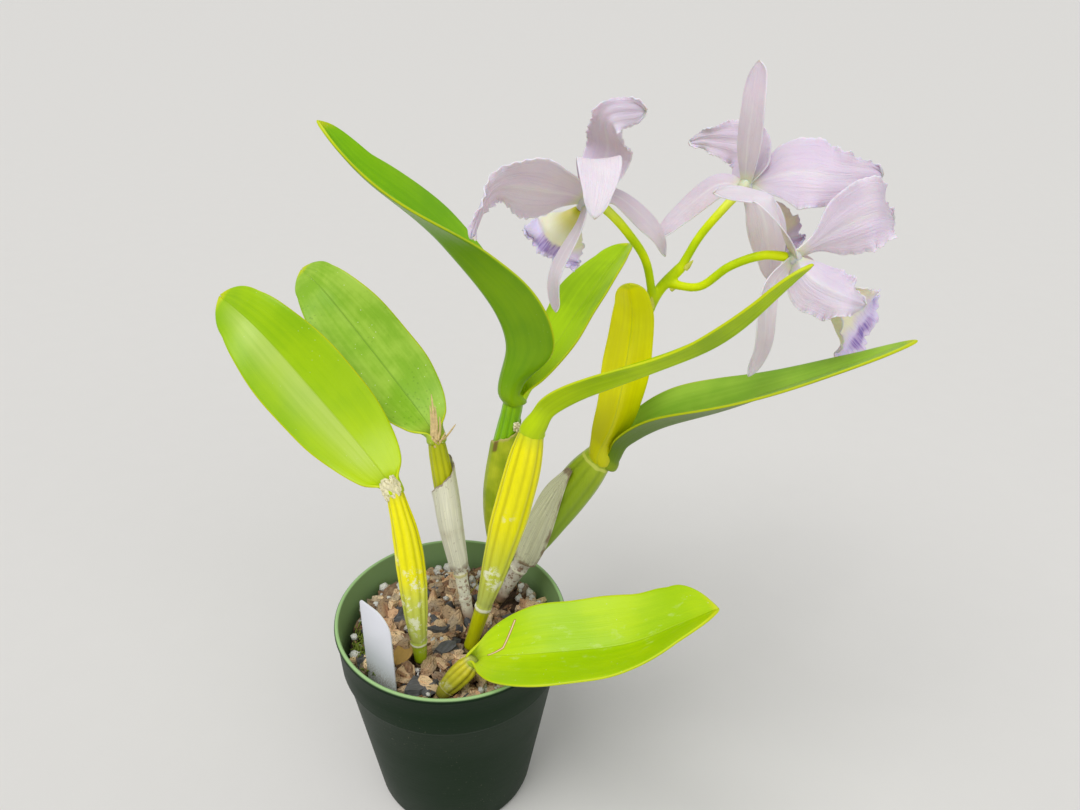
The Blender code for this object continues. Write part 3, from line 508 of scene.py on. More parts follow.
class Number(Wire):
    """A number worked out at each point of a surface. Python's own signs add the Math nodes."""

    def work(self, operation, *values):
        return self.finish.node("ShaderNodeMath", {"operation": operation}, dict(enumerate(values)))

    def __add__(self, other):
        return self.work("ADD", self, other)

    def __sub__(self, other):
        return self.work("SUBTRACT", self, other)

    def __mul__(self, other):
        return self.work("MULTIPLY", self, other)

    def __truediv__(self, other):
        return self.work("DIVIDE", self, other)

    def __pow__(self, other):
        return self.work("POWER", self, other)

    def __radd__(self, other):
        return self.work("ADD", other, self)

    def __rmul__(self, other):
        return self.work("MULTIPLY", other, self)

    def __abs__(self):
        return self.work("ABSOLUTE", self)

    def at_most(self, other):
        return self.work("MINIMUM", self, other)

    def at_least(self, other):
        return self.work("MAXIMUM", self, other)


class Finish:
    """A node material while it is put together. Every node comes from node()."""

    def __init__(self, name, **fixed):
        self.material = bpy.data.materials.new(name)
        self.material.use_nodes = True
        self.tree = self.material.node_tree
        self.shader = self.tree.nodes["Principled BSDF"]
        for socket, value in fixed.items():
            self.shader.inputs[socket.replace("_", " ")].default_value = value

    def node(self, kind, settings=None, sockets=None, output=0):
        """A node of this type with its settings made first, then its sockets filled or joined."""
        made = self.tree.nodes.new(kind)
        for setting, value in (settings or {}).items():
            if setting == "stops":
                for index, (place, colour) in enumerate(value):
                    stops = made.color_ramp.elements
                    stop = stops[index] if index < 2 else stops.new(place)
                    stop.position = place
                    stop.color = (*colour, 1)
            else:
                setattr(made, setting, value)
        for socket, value in (sockets or {}).items():
            self.fill(made.inputs[socket], value)
        given = made.outputs[output]
        return (Number if given.type == "VALUE" else Wire)(self, given)

    def fill(self, socket, value):
        if isinstance(value, Wire):
            self.tree.links.new(value.socket, socket)
        elif socket.type == "RGBA" and len(value) == 3:
            socket.default_value = (*value, 1)
        else:
            socket.default_value = value

    def place(self):
        """The point's own place on the object, in metres."""
        return self.node("ShaderNodeTexCoord", output="Object")

    def parts(self, vector):
        """The three numbers of a vector."""
        split = self.node("ShaderNodeSeparateXYZ", None, {0: vector})
        return [Number(self, split.socket.node.outputs[index]) for index in range(3)]

    def along_across(self):
        """How far along a blade a point is, from 0 to 1, and how far across it, from -1 to 1."""
        along, across, _ = self.parts(self.node("ShaderNodeTexCoord", output="UV"))
        return along, across * 2.0 - 1.0

    def mark(self, name, output="Fac"):
        """A value that was stored on the points of the mesh."""
        return self.node("ShaderNodeAttribute", {"attribute_name": name}, output=output)

    def point(self, x, y, z=0.0):
        return self.node("ShaderNodeCombineXYZ", None, {0: x, 1: y, 2: z})

    def noise(self, vector, scale, detail=2.0, roughness=0.5, bend=0.0):
        return self.node(
            "ShaderNodeTexNoise", None,
            {"Vector": vector, "Scale": scale, "Detail": detail, "Roughness": roughness, "Distortion": bend},
        )

    def cells(self, vector, scale):
        return self.node("ShaderNodeTexVoronoi", None, {"Vector": vector, "Scale": scale})

    def step(self, value, low, high):
        """0 below low, 1 above high, and smooth between. With low above high it falls instead."""
        return self.node(
            "ShaderNodeMapRange", {"interpolation_type": "SMOOTHSTEP"},
            {"Value": value, "From Min": low, "From Max": high},
        )

    def window(self, value, low, high, soft):
        """1 between low and high, and 0 outside."""
        return self.step(value, low - soft, low + soft) * self.step(value, high + soft, high - soft)

    def mix(self, share, first, second):
        return self.node("ShaderNodeMix", {"data_type": "RGBA"}, {0: share, 6: first, 7: second}, 2)

    def ramp(self, value, stops):
        return self.node("ShaderNodeValToRGB", {"stops": stops}, {0: value})

    def brighten(self, colour, value):
        """The colour made lighter or darker by a factor."""
        return self.node("ShaderNodeHueSaturation", None, {"Color": colour, "Value": value})

    def done(self, colour, roughness=None, height=None, depth=0.0002, strength=1.0):
        """Joins the colour, the roughness and the relief to the shader."""
        self.fill(self.shader.inputs["Base Color"], colour)
        if roughness is not None:
            self.fill(self.shader.inputs["Roughness"], roughness)
        if height is not None:
            sockets = {"Height": height, "Distance": depth, "Strength": strength}
            relief = self.node("ShaderNodeBump", None, sockets)
            self.fill(self.shader.inputs["Normal"], relief)
        return self.material


def unit(vector):
    return np.asarray(vector, float) / np.linalg.norm(vector)


def spaced(points, count, *tables):
    """Tables of rows that go with the points, read at count places an even distance apart."""
    run = np.concatenate([[0], np.cumsum(np.linalg.norm(np.diff(points, axis=0), axis=1))])
    at = np.linspace(0, run[-1], count)
    return [np.stack([np.interp(at, run, table[:, k]) for k in range(3)], axis=1) for table in tables]


def smooth_path(points, count=160):
    """A Catmull-Rom curve through the points, read at count places an even distance apart."""
    p = np.asarray(points, float)
    p = np.vstack([2 * p[0] - p[1], p, 2 * p[-1] - p[-2]])
    t = np.linspace(0, 1, 24, endpoint=False)[:, None]
    dense = []
    for a, b, c, d in zip(p, p[1:], p[2:], p[3:]):
        turn = (2 * a - 5 * b + 4 * c - d) * t**2 + (3 * b - a - 3 * c + d) * t**3
        dense.append(0.5 * (2 * b + (c - a) * t + turn))
    dense = np.vstack(dense + [p[-2][None]])
    return spaced(dense, count, dense)[0]


def path_frames(path, facing, twist=0.0):
    """Side and facing directions along a path, carried without spin and then turned by twist degrees."""
    along = np.gradient(path, axis=0)
    along /= np.linalg.norm(along, axis=1)[:, None]
    facings = []
    now = np.asarray(facing, float)
    for tangent in along:
        now = unit(now - now.dot(tangent) * tangent)
        facings.append(now)
    facings = np.array(facings)
    sides = np.cross(along, facings)
    angle = np.radians(twist) * np.linspace(0, 1, len(path))[:, None]
    return (
        sides * np.cos(angle) + facings * np.sin(angle),
        facings * np.cos(angle) - sides * np.sin(angle),
    )


def read(table, s):
    """The rows of a table of points at shares s of its length."""
    at = np.clip(s, 0, 1) * (len(table) - 1)
    return np.stack([np.interp(at, range(len(table)), table[:, k]) for k in range(3)], axis=-1)


def even(values, s):
    """A smooth curve through values at even steps from s = 0 to s = 1."""
    v = np.asarray(values, float)
    v = np.concatenate([[2 * v[0] - v[1]], v, [2 * v[-1] - v[-2]]])
    at = np.clip(s, 0, 1) * (len(values) - 1)
    k = np.minimum(at.astype(int), len(values) - 2)
    t = at - k
    a, b, c, d = v[k], v[k + 1], v[k + 2], v[k + 3]
    return 0.5 * (2 * b + (c - a) * t + (2 * a - 5 * b + 4 * c - d) * t**2 + (3 * b - a - 3 * c + d) * t**3)


def blade_width(half_widths, s, blunt):
    """Half width of a blade with a round tip: the last step keeps its slope and closes like an arch."""
    last = 1 - 1 / (len(half_widths) - 1)
    t = climb(s, last, 1 - last)
    before, end = half_widths[-3:-1]
    close = np.maximum(end + 0.6 * (end - before) * t, 0.3 * end)
    close = close * np.maximum(1 - t**2.6, 0) ** blunt
    return np.where(s > last, close, even(half_widths, np.minimum(s, last)))


def grow_from(path, sides, facings, start, way):
    """The path and its frames with a short bend before them, from start in the direction way."""
    start, way = np.array(start, float), unit(way)
    gap = np.linalg.norm(path[0] - start)
    t = np.linspace(0, 1, 12, endpoint=False)[:, None]
    bend = (2 * t**3 - 3 * t**2 + 1) * start + (t**3 - 2 * t**2 + t) * gap * way
    bend = bend + (3 * t**2 - 2 * t**3) * path[0] + (t**3 - t**2) * gap * unit(path[1] - path[0])
    whole = np.vstack([bend, path])
    now, before = facings[0], []
    for index in range(len(bend) - 1, -1, -1):
        tangent = unit(whole[index + 1] - whole[index])
        now = unit(now - now.dot(tangent) * tangent)
        before.insert(0, (np.cross(tangent, now), now))
    sides = np.vstack([[pair[0] for pair in before], sides])
    facings = np.vstack([[pair[1] for pair in before], facings])
    return spaced(whole, len(path), whole, sides, facings)


def climb(value, start, length):
    """0 up to start, a straight climb over this length, and 1 from there on."""
    return np.clip((value - start) / length, 0, 1)


def ease(value, low, high):
    """0 below low, 1 above high, and smooth between."""
    t = climb(value, low, high - low)
    return t * t * (3 - 2 * t)


def blade(spec, rise=(0, 0), curl=(0, 0), waves=None, blunt=LEAF_TIP, start=None):
    """The place function of a blade along its midrib. waves gives a shift across, one out of the
    blade and one along it, in millimetres. A blade with a neck starts as a roll and then opens."""
    midrib = ([start] if start else []) + list(spec["midrib"])
    path = smooth_path(midrib)
    neck = spec.get("neck")
    sides, facings = path_frames(path, spec["facing"], spec["twist"])
    if neck:
        path, sides, facings = grow_from(path, sides, facings, neck["start"], neck["way"])
    length = np.linalg.norm(np.diff(path, axis=0), axis=1).sum()

    def place(s, u):
        lopsided = 1 - spec.get("corner", 0) * ease(s, 0.7, 0.95) * np.sign(u)
        width = blade_width(spec["half_widths"], s, blunt) * lopsided
        at = s - 0.25 * width / length * u * u * s**5
        fold = np.radians(rise[0] + (rise[1] - rise[0]) * s)
        bend = curl[0] + (curl[1] - curl[0]) * s
        bend = np.where(bend < 0, -1, 1) * np.maximum(np.abs(bend), 0.001)
        x = width / bend * np.sin(u * bend) * np.cos(fold)
        z = width / bend * (1 - np.cos(u * bend))
        z = z + width * np.sin(fold) * (np.sqrt(u * u + CREASE) - math.sqrt(CREASE))
        if waves:
            across, out, on = waves(s, u, width)
            x = x + across
            z = z + out
            at = at + on / length
        if neck:
            open_share = ease(s, 0.15 * neck["share"], neck["share"])
            x = x * open_share + neck["radius"] * np.sin(neck["arc"] * u) * (1 - open_share)
            z = z * open_share - neck["radius"] * np.cos(neck["arc"] * u) * (1 - open_share)
        return read(path, at) + read(sides, at) * x[..., None] + read(facings, at) * z[..., None]

    return place


def fresh(name):
    """Names the object that an operator just made."""
    obj = bpy.context.object
    obj.name = name
    obj.data.name = name
    return obj


def deselect():
    if bpy.context.mode != "OBJECT":
        bpy.ops.object.mode_set(mode="OBJECT")
    bpy.ops.object.select_all(action="DESELECT")


def pick(obj):
    """Makes obj the only selected object, and the active one."""
    deselect()
    obj.select_set(True)
    bpy.context.view_layer.objects.active = obj
    return obj


def points_of(obj):
    flat = np.empty(len(obj.data.vertices) * 3, np.float32)
    obj.data.vertices.foreach_get("co", flat)
    return flat.reshape(-1, 3).astype(float)


def move_points(obj, points):
    obj.data.vertices.foreach_set("co", np.asarray(points, np.float32).ravel())
    obj.data.update()


def store(obj, name, values):
    """Keeps a number for each point of the mesh, for its finish to read."""
    layer = obj.data.attributes.get(name) or obj.data.attributes.new(name, "FLOAT", "POINT")
    layer.data.foreach_set("value", np.asarray(values, np.float32).ravel())


def sheet(name, along, across, place):
    """A grid laid over place(s, u) in millimetres, with s from 0 to 1 along it and u from -1 to 1
    across. Its UV map holds the same two numbers."""
    deselect()
    bpy.ops.mesh.primitive_grid_add(x_subdivisions=along, y_subdivisions=across, size=2, calc_uvs=True)
    obj = fresh(name)
    co = points_of(obj)
    move_points(obj, place((co[:, 0] + 1) / 2, co[:, 1]) * MM)
    return obj


def use(obj, kind, **settings):
    """Adds a modifier with these settings and applies it."""
    pick(obj)
    made = obj.modifiers.new(kind.lower(), kind)
    for setting, value in settings.items():
        setattr(made, setting, value)
    bpy.ops.object.modifier_apply(modifier=made.name)
    return obj


def dress(obj, *finishes):
    """Gives a piece these finishes and no others."""
    obj.data.materials.clear()
    for finish in finishes:
        obj.data.materials.append(finish)


def thicken(obj, thickness, finishes, smooth_levels=1):
    """Gives a sheet its thickness, a finish on each side and round edges. The grid's own side is
    the lower one, so the second finish is the upper side's."""
    dress(obj, *finishes)
    two = len(finishes) > 1
    use(
        obj, "SOLIDIFY", thickness=thickness, offset=0.0, material_offset=1 if two else 0,
        material_offset_rim=0, use_quality_normals=True,
    )
    if smooth_levels:
        use(obj, "SUBSURF", levels=smooth_levels, render_levels=smooth_levels)
    obj.data.shade_smooth()
    return obj


def edit(obj):
    pick(obj)
    bpy.ops.object.mode_set(mode="EDIT")
    bpy.ops.mesh.select_all(action="SELECT")


def leave():
    bpy.ops.object.mode_set(mode="OBJECT")


def weld(obj, distance):
    """Merges the seam and the poles of a rolled grid, and turns its faces outward."""
    edit(obj)
    bpy.ops.mesh.remove_doubles(threshold=distance)
    bpy.ops.mesh.normals_make_consistent(inside=False)
    leave()


def round_end(share):
    """The radius of a tube near its end, as a share of its full radius: an arch, and then 1."""
    return np.sqrt(np.clip(1 - (1 - climb(share, 0, TUBE_END)) ** 2, 0, 1))


def rolled(name, axis, radius_at, rings, sides):
    """A closed tube with round ends along an axis, from a grid rolled up. radius_at(s, turn) is in
    millimetres, and the UV map holds the share along it and the share of the turn."""
    path = smooth_path(axis)
    side, front = path_frames(path, (0, -1, 0.1))

    def place(s, u):
        turn = math.pi * u
        radius = radius_at(s, turn) * (round_end(s) * round_end(1 - s))
        offset = read(side, s) * np.cos(turn)[:, None] + read(front, s) * np.sin(turn)[:, None]
        return read(path, s) + offset * radius[:, None]

    obj = sheet(name, rings, sides, place)
    weld(obj, 0.000004)
    obj.data.shade_smooth()
    return obj


def join(name, pieces):
    """Makes one object of several."""
    deselect()
    for piece in pieces:
        piece.select_set(True)
    bpy.context.view_layer.objects.active = pieces[0]
    bpy.ops.object.join()
    return fresh(name)


def settle(obj, slot, *nodes):
    """Sets a finished piece on the plant's body and hides the imported parts that it stands for. The slot is
    not used.
    """
    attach(obj, "root")
    if nodes:
        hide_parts(*nodes)
    return obj


def plastic(name, colour, lip):
    """Satin moulded plastic with painted light: lighter inside and on its lip, and brightest on the lip's edge
    as a painted highlight. Fine scuffs and specks of dust lie over it.
    """
    f = Finish(name, Specular_IOR_Level=0.1)
    where = f.place()
    x, y, z = f.parts(where)
    reach = (x * x + y * y) ** 0.5
    between = (z * 0.157 + 0.044).at_most(z * 0.08 + 0.0521)
    # Painted light: inner marks the inner wall and edge the lip, which take the lighter green; the edge is
    # brightened further as a painted highlight.
    inner = f.step(reach - between, 0.0003, -0.0003) * f.step(z, 0.004, 0.006)
    edge = f.step(z, 0.1226, 0.1234)
    cloud = f.noise(where, 22.0, 3.0)
    scuff = f.noise(f.point(x * 3.0, y * 3.0, z * 40.0), 30.0, 3.0, 0.6)
    base = f.mix((inner * 0.85).at_least(edge), colour, lip)
    base = f.brighten(base, 0.9 + 0.2 * cloud + edge * 0.25)
    dust = f.step(f.noise(where, 900.0, 1.0), 0.7, 0.78) * f.step(cloud, 0.45, 0.7) * 0.35
    base = f.mix(dust, base, shade(150, 140, 120))
    rough = 0.36 + 0.14 * cloud + 0.08 * scuff + inner * 0.12
    return f.done(base, rough, scuff * 0.5 + cloud, 0.0001)


def bark_finish(name, fresh_brown, dark_brown, grain=1.0):
    """Broken bark: layers, pits and a tone of its own for each chip."""
    f = Finish(name, Roughness=0.85, Specular_IOR_Level=0.3)
    local = f.mark("grain", "Vector")
    tone = f.mark("tone")
    x, y, z = f.parts(local)
    layers = f.noise(f.point(x * 0.4, y * 0.9, z * 3.6), 420.0 * grain, 3.0, 0.6, 0.4)
    pits = f.noise(local, 800.0 * grain, 3.0, 0.7)
    hue = f.noise(local, 60.0, 1.0)
    base = f.mix(tone, dark_brown, fresh_brown)
    base = f.mix(f.step(hue, 0.5, 0.62) * 0.5, base, shade(176, 116, 82))
    base = f.mix(f.step(hue, 0.46, 0.36) * 0.65, base, shade(172, 158, 140))
    base = f.mix(f.step(layers, 0.5, 0.72) * 0.5, base, shade(226, 198, 156))
    base = f.mix(f.step(layers, 0.46, 0.3) * 0.6, base, shade(82, 58, 44))
    base = f.mix(f.step(pits, 0.46, 0.32) * 0.7, base, shade(56, 40, 32))
    base = f.brighten(base, 0.7 + 0.55 * tone)
    return f.done(base, 0.78 + 0.2 * pits, layers * 0.7 + pits * 0.6, 0.0009)


def charcoal_finish(name, colour):
    """Charcoal: near black with grey bloom on its ridges."""
    f = Finish(name, Specular_IOR_Level=0.5)
    local = f.mark("grain", "Vector")
    tone = f.mark("tone")
    x, y, z = f.parts(local)
    fibre = f.noise(f.point(x * 0.25, y, z), 700.0, 3.0, 0.6)
    base = f.mix(f.step(fibre, 0.35, 0.75), f.brighten(colour, 0.6 + 0.5 * tone), shade(104, 104, 108))
    return f.done(base, 0.55 + 0.3 * fibre, fibre, 0.0005)


def perlite_finish(name, colour):
    """Perlite: chalky white, pitted."""
    f = Finish(name, Roughness=0.9)
    local = f.mark("grain", "Vector")
    pits = f.cells(local, 1500.0)
    tone = f.mark("tone")
    base = f.mix(f.step(pits, 0.35, 0.0) * 0.4, colour, shade(168, 160, 148))
    base = f.brighten(base, 0.84 + 0.2 * tone)
    return f.done(base, 0.9, pits, 0.0004)


def leaf_finish(name, plant, look, upper=True):
    """A thick waxy leaf: fine lines along it, a midrib, a yellow margin and old marks."""
    f = Finish(name, Specular_IOR_Level=0.25)
    s, u = f.along_across()
    where = f.place()
    side = abs(u)
    cloud = f.noise(where, 26.0, 3.0)
    fine = f.noise(f.point(s * 5.0, u * 34.0), 1.0, 3.0, 0.55)
    wide = f.noise(f.point(s * 1.6, u * 9.0, 3.0), 1.0, 2.0)
    green, deep = look["green"], look["deep"]
    if not upper:
        green, deep = look.get("under", (green, deep))
    if "blotch" in look:
        cloud = f.noise(where, 26.0 * look["blotch"], 4.0, 0.6)
    base = f.mix(f.step(cloud + (wide - 0.5) * 0.3, 0.34, 0.66), deep, green)
    base = f.brighten(base, 0.96 + 0.08 * fine)
    foot = f.step(s, look.get("pale_foot", 0.12), 0.0)
    base = f.mix(foot * 0.6, base, look.get("foot", shade(186, 200, 60)))
    # Painted sheen: a pale band beside the midrib on one half, where light is reflected.
    if "band" in look:
        half, colour, amount = look["band"]
        near = f.step(u * half, -0.02, 0.03) * f.step(u * half + (cloud - 0.5) * 0.5, 0.85, 0.12)
        near = near * f.window(s, 0.12, 0.9, 0.1) * (0.65 + 0.7 * (wide - 0.5))
        base = f.mix(near * amount, base, colour)
    rib = f.step(side, 0.035, 0.0)
    ribbed = rib * look.get("rib_amount", 0.35) * f.step(s, 1.0, 0.7)
    base = f.mix(ribbed, base, look.get("rib", shade(170, 200, 60)))
    rim = f.step(side + (cloud - 0.5) * 0.05, 1.0 - look.get("margin", 0.035), 1.0)
    tip = f.step(s + side * 0.01, 0.965, 0.995)
    base = f.mix(rim.at_least(tip) * 0.85, base, plant.leaf_margin)
    fleck = f.step(f.cells(where, 330.0), 0.11, 0.05) * f.step(f.noise(where, 45.0, 1.0), 0.5, 0.62)
    base = f.mix(fleck * look.get("flecks", 0.15), base, shade(226, 230, 196))
    if "freckles" in look:
        moved = f.node("ShaderNodeVectorMath", {"operation": "ADD"}, {0: where, 1: (3, 1, 2)})
        dark = f.step(f.cells(moved, 420.0), 0.3, 0.12)
        dark = dark * f.step(f.noise(where, 38.0, 2.0), 0.46, 0.6)
        base = f.mix(dark * look["freckles"], base, shade(44, 84, 22))
    if "wax" in look:
        streaks = f.noise(f.point(s * 16.0, u * 5.0, 1.0), 1.0, 4.0, 0.65)
        wax = f.step(streaks, 0.56, 0.7) * f.step(side, 0.85, 0.3)
        base = f.mix(wax * look["wax"], base, shade(214, 232, 150))
    for (a, b, c), width in look.get("scars", []):
        cut = scar(s, u, a, b).at_most(scar(s, u, b, c))
        base = f.mix(f.step(cut, width * 2.0, width * 1.3), base, shade(150, 98, 50))
        base = f.mix(f.step(cut, width * 1.1, width * 0.6), base, shade(232, 208, 160))
    rough = look.get("rough", 0.34) + 0.16 * (cloud - 0.5) + 0.12 * (fine - 0.5)
    height = fine * 0.35 + wide * 0.5 - rib * 0.7
    return f.done(base, rough, height, 0.00035, 0.7)


def scar(s, u, first, last):
    """Distance in millimetres from a straight scar between two points given in s and u."""
    long, wide = 150.0, 24.0
    ax, ay = first[0] * long, first[1] * wide
    bx, by = last[0] * long - ax, last[1] * wide - ay
    x, y = s * long - ax, u * wide - ay
    share = ((x * bx + y * by) / (bx * bx + by * by)).at_least(0.0).at_most(1.0)
    dx, dy = x - share * bx, y - share * by
    return (dx * dx + dy * dy) ** 0.5


def bulb_finish(name, stops, groove_shade, wax=0.0, wax_window=(0.2, 0.7), papery=None, rings=(), skin=0.34):
    """A ribbed pseudobulb: colours along it, painted shade in the grooves, wax, papery skin and pale scale
    rings.
    """
    f = Finish(name, Specular_IOR_Level=0.3)
    s = f.parts(f.node("ShaderNodeTexCoord", output="UV"))[0]
    where = f.place()
    x, y, z = f.parts(where)
    rib = f.mark("rib")
    cloud = f.noise(where, 60.0, 3.0)
    fibre = f.noise(f.point(x * 9.0, y * 9.0, z), 110.0, 3.0, 0.6)
    base = f.ramp(s + (cloud - 0.5) * 0.05, stops)
    # Painted shade: the grooves between the ribs are darkened.
    base = f.mix(f.step(rib, 0.3, -0.8) * 0.38, base, groove_shade)
    base = f.brighten(base, 0.9 + 0.2 * fibre)
    rough = skin + 0.2 * (fibre - 0.5)
    if wax:
        patch = f.step(f.noise(where, 150.0, 4.0, 0.7), 0.52, 0.62) * f.window(s, *wax_window, 0.05)
        patch = patch * f.step(f.noise(where, 48.0, 1.0), 0.46, 0.56)
        base = f.mix(patch * wax, base, shade(238, 238, 214))
        rough = rough + patch * 0.3
    if papery:
        low, high, white, brown = papery
        dry = f.window(s + (cloud - 0.5) * 0.03, low, high, 0.012)
        spots = f.step(f.noise(where, 420.0, 3.0, 0.6), 0.5, 0.64)
        old = f.mix((spots * 0.8).at_least(f.step(s, low + 0.1, low) * 0.85), white, brown)
        base = f.mix(dry, base, f.brighten(old, 0.82 + 0.36 * fibre))
        rough = rough + dry * 0.35
    for ring, colour in rings:
        line = f.window(s + (f.noise(where, 260.0, 1.0) - 0.5) * 0.012, ring - 0.007, ring + 0.007, 0.003)
        base = f.mix(line * 0.9, base, colour)
        rough = rough + line * 0.3
    return f.done(base, rough, fibre * 0.6 + cloud * 0.5, 0.0003, 0.8)


def paper_finish(name, white, brown, edge=0.06, grey=0.0, sides=0.0):
    """A dry sheath: fibres along it, brown freckles and a torn brown edge."""
    f = Finish(name, Roughness=0.72, Specular_IOR_Level=0.35)
    s, u = f.along_across()
    where = f.place()
    fibre = f.noise(f.point(s * 2.0, u * 26.0), 1.0, 4.0, 0.6)
    cloud = f.noise(where, 70.0, 3.0)
    base = f.mix(f.step(fibre, 0.35, 0.7), f.brighten(white, 0.8 - grey), white)
    base = f.mix(f.step(cloud, 0.55, 0.75) * 0.3, base, shade(176, 160, 130))
    top = f.step(s + (f.noise(where, 240.0, 3.0) - 0.5) * 0.1, 1.0 - edge, 1.0 - edge * 0.3)
    foot = f.step(s, 0.1, 0.0) * f.step(f.noise(where, 300.0, 3.0), 0.42, 0.58)
    if sides:
        border = f.step(abs(u) + (f.noise(where, 160.0, 3.0) - 0.5) * 0.35, 1.0 - sides, 1.0 - sides * 0.4)
        top = top.at_least(border * f.step(u, 0.0, 0.1) * f.step(f.noise(where, 90.0, 2.0), 0.4, 0.6))
    spots = f.step(f.noise(where, 520.0, 2.0, 0.6), 0.64, 0.7) * 0.25
    base = f.mix(spots.at_least(top * 0.7).at_least(foot * 0.8), base, brown)
    return f.done(base, 0.66 + 0.2 * cloud, fibre, 0.0005)


def tepal_finish(name, main, vein, lines=1.0):
    """A petal or sepal: soft lilac with fine veins that fan along it, paler by its midrib and
    greenish at its heart."""
    f = Finish(name, **SOFT_PETAL)
    s, u = f.along_across()
    where = f.place()
    side = abs(u)
    drift = f.noise(where, 90.0, 2.0) - 0.5
    fan = f.noise(f.point(s * 1.6, u * 15.0 + drift * 0.8), 1.0, 3.0, 0.65)
    lace = f.noise(f.point(s * 16.0, u * 30.0 + drift * 3.0, 5.0), 1.0, 3.0, 0.7)
    cloud = f.noise(where, 55.0, 2.0)
    base = f.mix(f.step(cloud, 0.3, 0.75) * 0.35, main, vein)
    base = f.mix(f.step(fan, 0.5, 0.72) * 0.5 * lines, base, vein)
    base = f.mix(f.step(lace, 0.56, 0.7) * f.step(side, 0.25, 0.9) * 0.35 * lines, base, vein)
    base = f.mix(f.step(side, 0.14, 0.0) * f.step(s, 0.9, 0.4) * 0.45, base, shade(242, 236, 238))
    base = f.mix(f.step(s, 0.16, 0.03) * 0.7, base, shade(226, 230, 176))
    base = f.mix(f.step(s, 0.97, 1.0) * 0.5, base, shade(206, 204, 150))
    # Painted highlight: the margins are lightened towards white.
    base = f.mix(f.step(side, 0.88, 1.0) * 0.5, base, shade(250, 244, 250))
    rough = 0.5 + 0.1 * fan
    return f.done(base, rough, fan * 0.9 + lace * 0.5, 0.0005, 0.9)


def lip_finish(name, plant, inner, start, throat_share):
    """The lip: cream tube, yellow throat, and a veined purple patch on the ruffled front lobe."""
    f = Finish(name, **SOFT_PETAL)
    s, u = f.along_across()
    where = f.place()
    side = abs(u)
    drift = f.noise(where, 120.0, 2.0) - 0.5
    fan = f.noise(f.point(s * 3.0, u * 22.0 + drift * 1.6), 1.0, 3.0, 0.65)
    lilac = shade(222, 211, 240)
    base = f.mix(f.step(s + side * 0.08 + drift * 0.14, 0.7, 0.86), plant.lip_cream, lilac)
    throat = f.step(s, 0.6, 0.2) * f.step(side, 1.0, 0.5)
    base = f.mix(throat * throat_share, base, plant.lip_yellow)
    base = f.mix(f.step(s, 0.16, 0.02), base, shade(196, 190, 40))
    patch = f.window(s + drift * 0.16, start, 0.96, 0.04) * f.step(side + drift * 0.5, 0.68, 0.25)
    patch = patch * (0.6 + 0.5 * f.step(fan, 0.4, 0.6))
    base = f.mix(patch * (0.85 if inner else 0.7), base, plant.lip_purple)
    edge = f.step(side.at_least(s + 0.02), 0.93, 1.0)
    base = f.mix(edge * 0.55, base, shade(230, 220, 244))
    veins = f.step(fan, 0.52, 0.7) * f.step(s, 0.66, 0.86) * (0.24 if inner else 0.15)
    base = f.mix(veins, base, plant.lip_purple)
    return f.done(base, 0.5, fan, 0.0004, 0.8)


def stem_finish(name, colour):
    """A fresh green stem: streaks along it and a waxy surface."""
    f = Finish(name, Specular_IOR_Level=0.2)
    where = f.place()
    x, y, z = f.parts(where)
    streak = f.noise(f.point(x, y, z * 0.25), 420.0, 3.0)
    cloud = f.noise(where, 40.0, 2.0)
    base = f.mix(f.step(cloud, 0.35, 0.7), shade(186, 216, 0), colour)
    base = f.mix(f.step(z, 0.335, 0.352) * 0.5, base, shade(206, 214, 130))
    base = f.brighten(base, 0.92 + 0.16 * streak)
    return f.done(base, 0.36 + 0.1 * streak, streak, 0.0002, 0.6)


def plain_finish(name, colour, rough=0.6, scale=300.0, spread=0.25, depth=0.0002):
    """A finish of one colour with grain in its tone and its relief."""
    f = Finish(name)
    grain = f.noise(f.place(), scale, 3.0, 0.6)
    return f.done(f.brighten(colour, 1.0 - spread / 2 + spread * grain), rough + 0.1 * grain, grain, depth)


def pot_outside(height):
    """Radius of the pot's wall below the shoulder."""
    return POT_BASE_RADIUS + POT_SLOPE * height


def pot_inside(height):
    return pot_outside(height) - POT_WALL


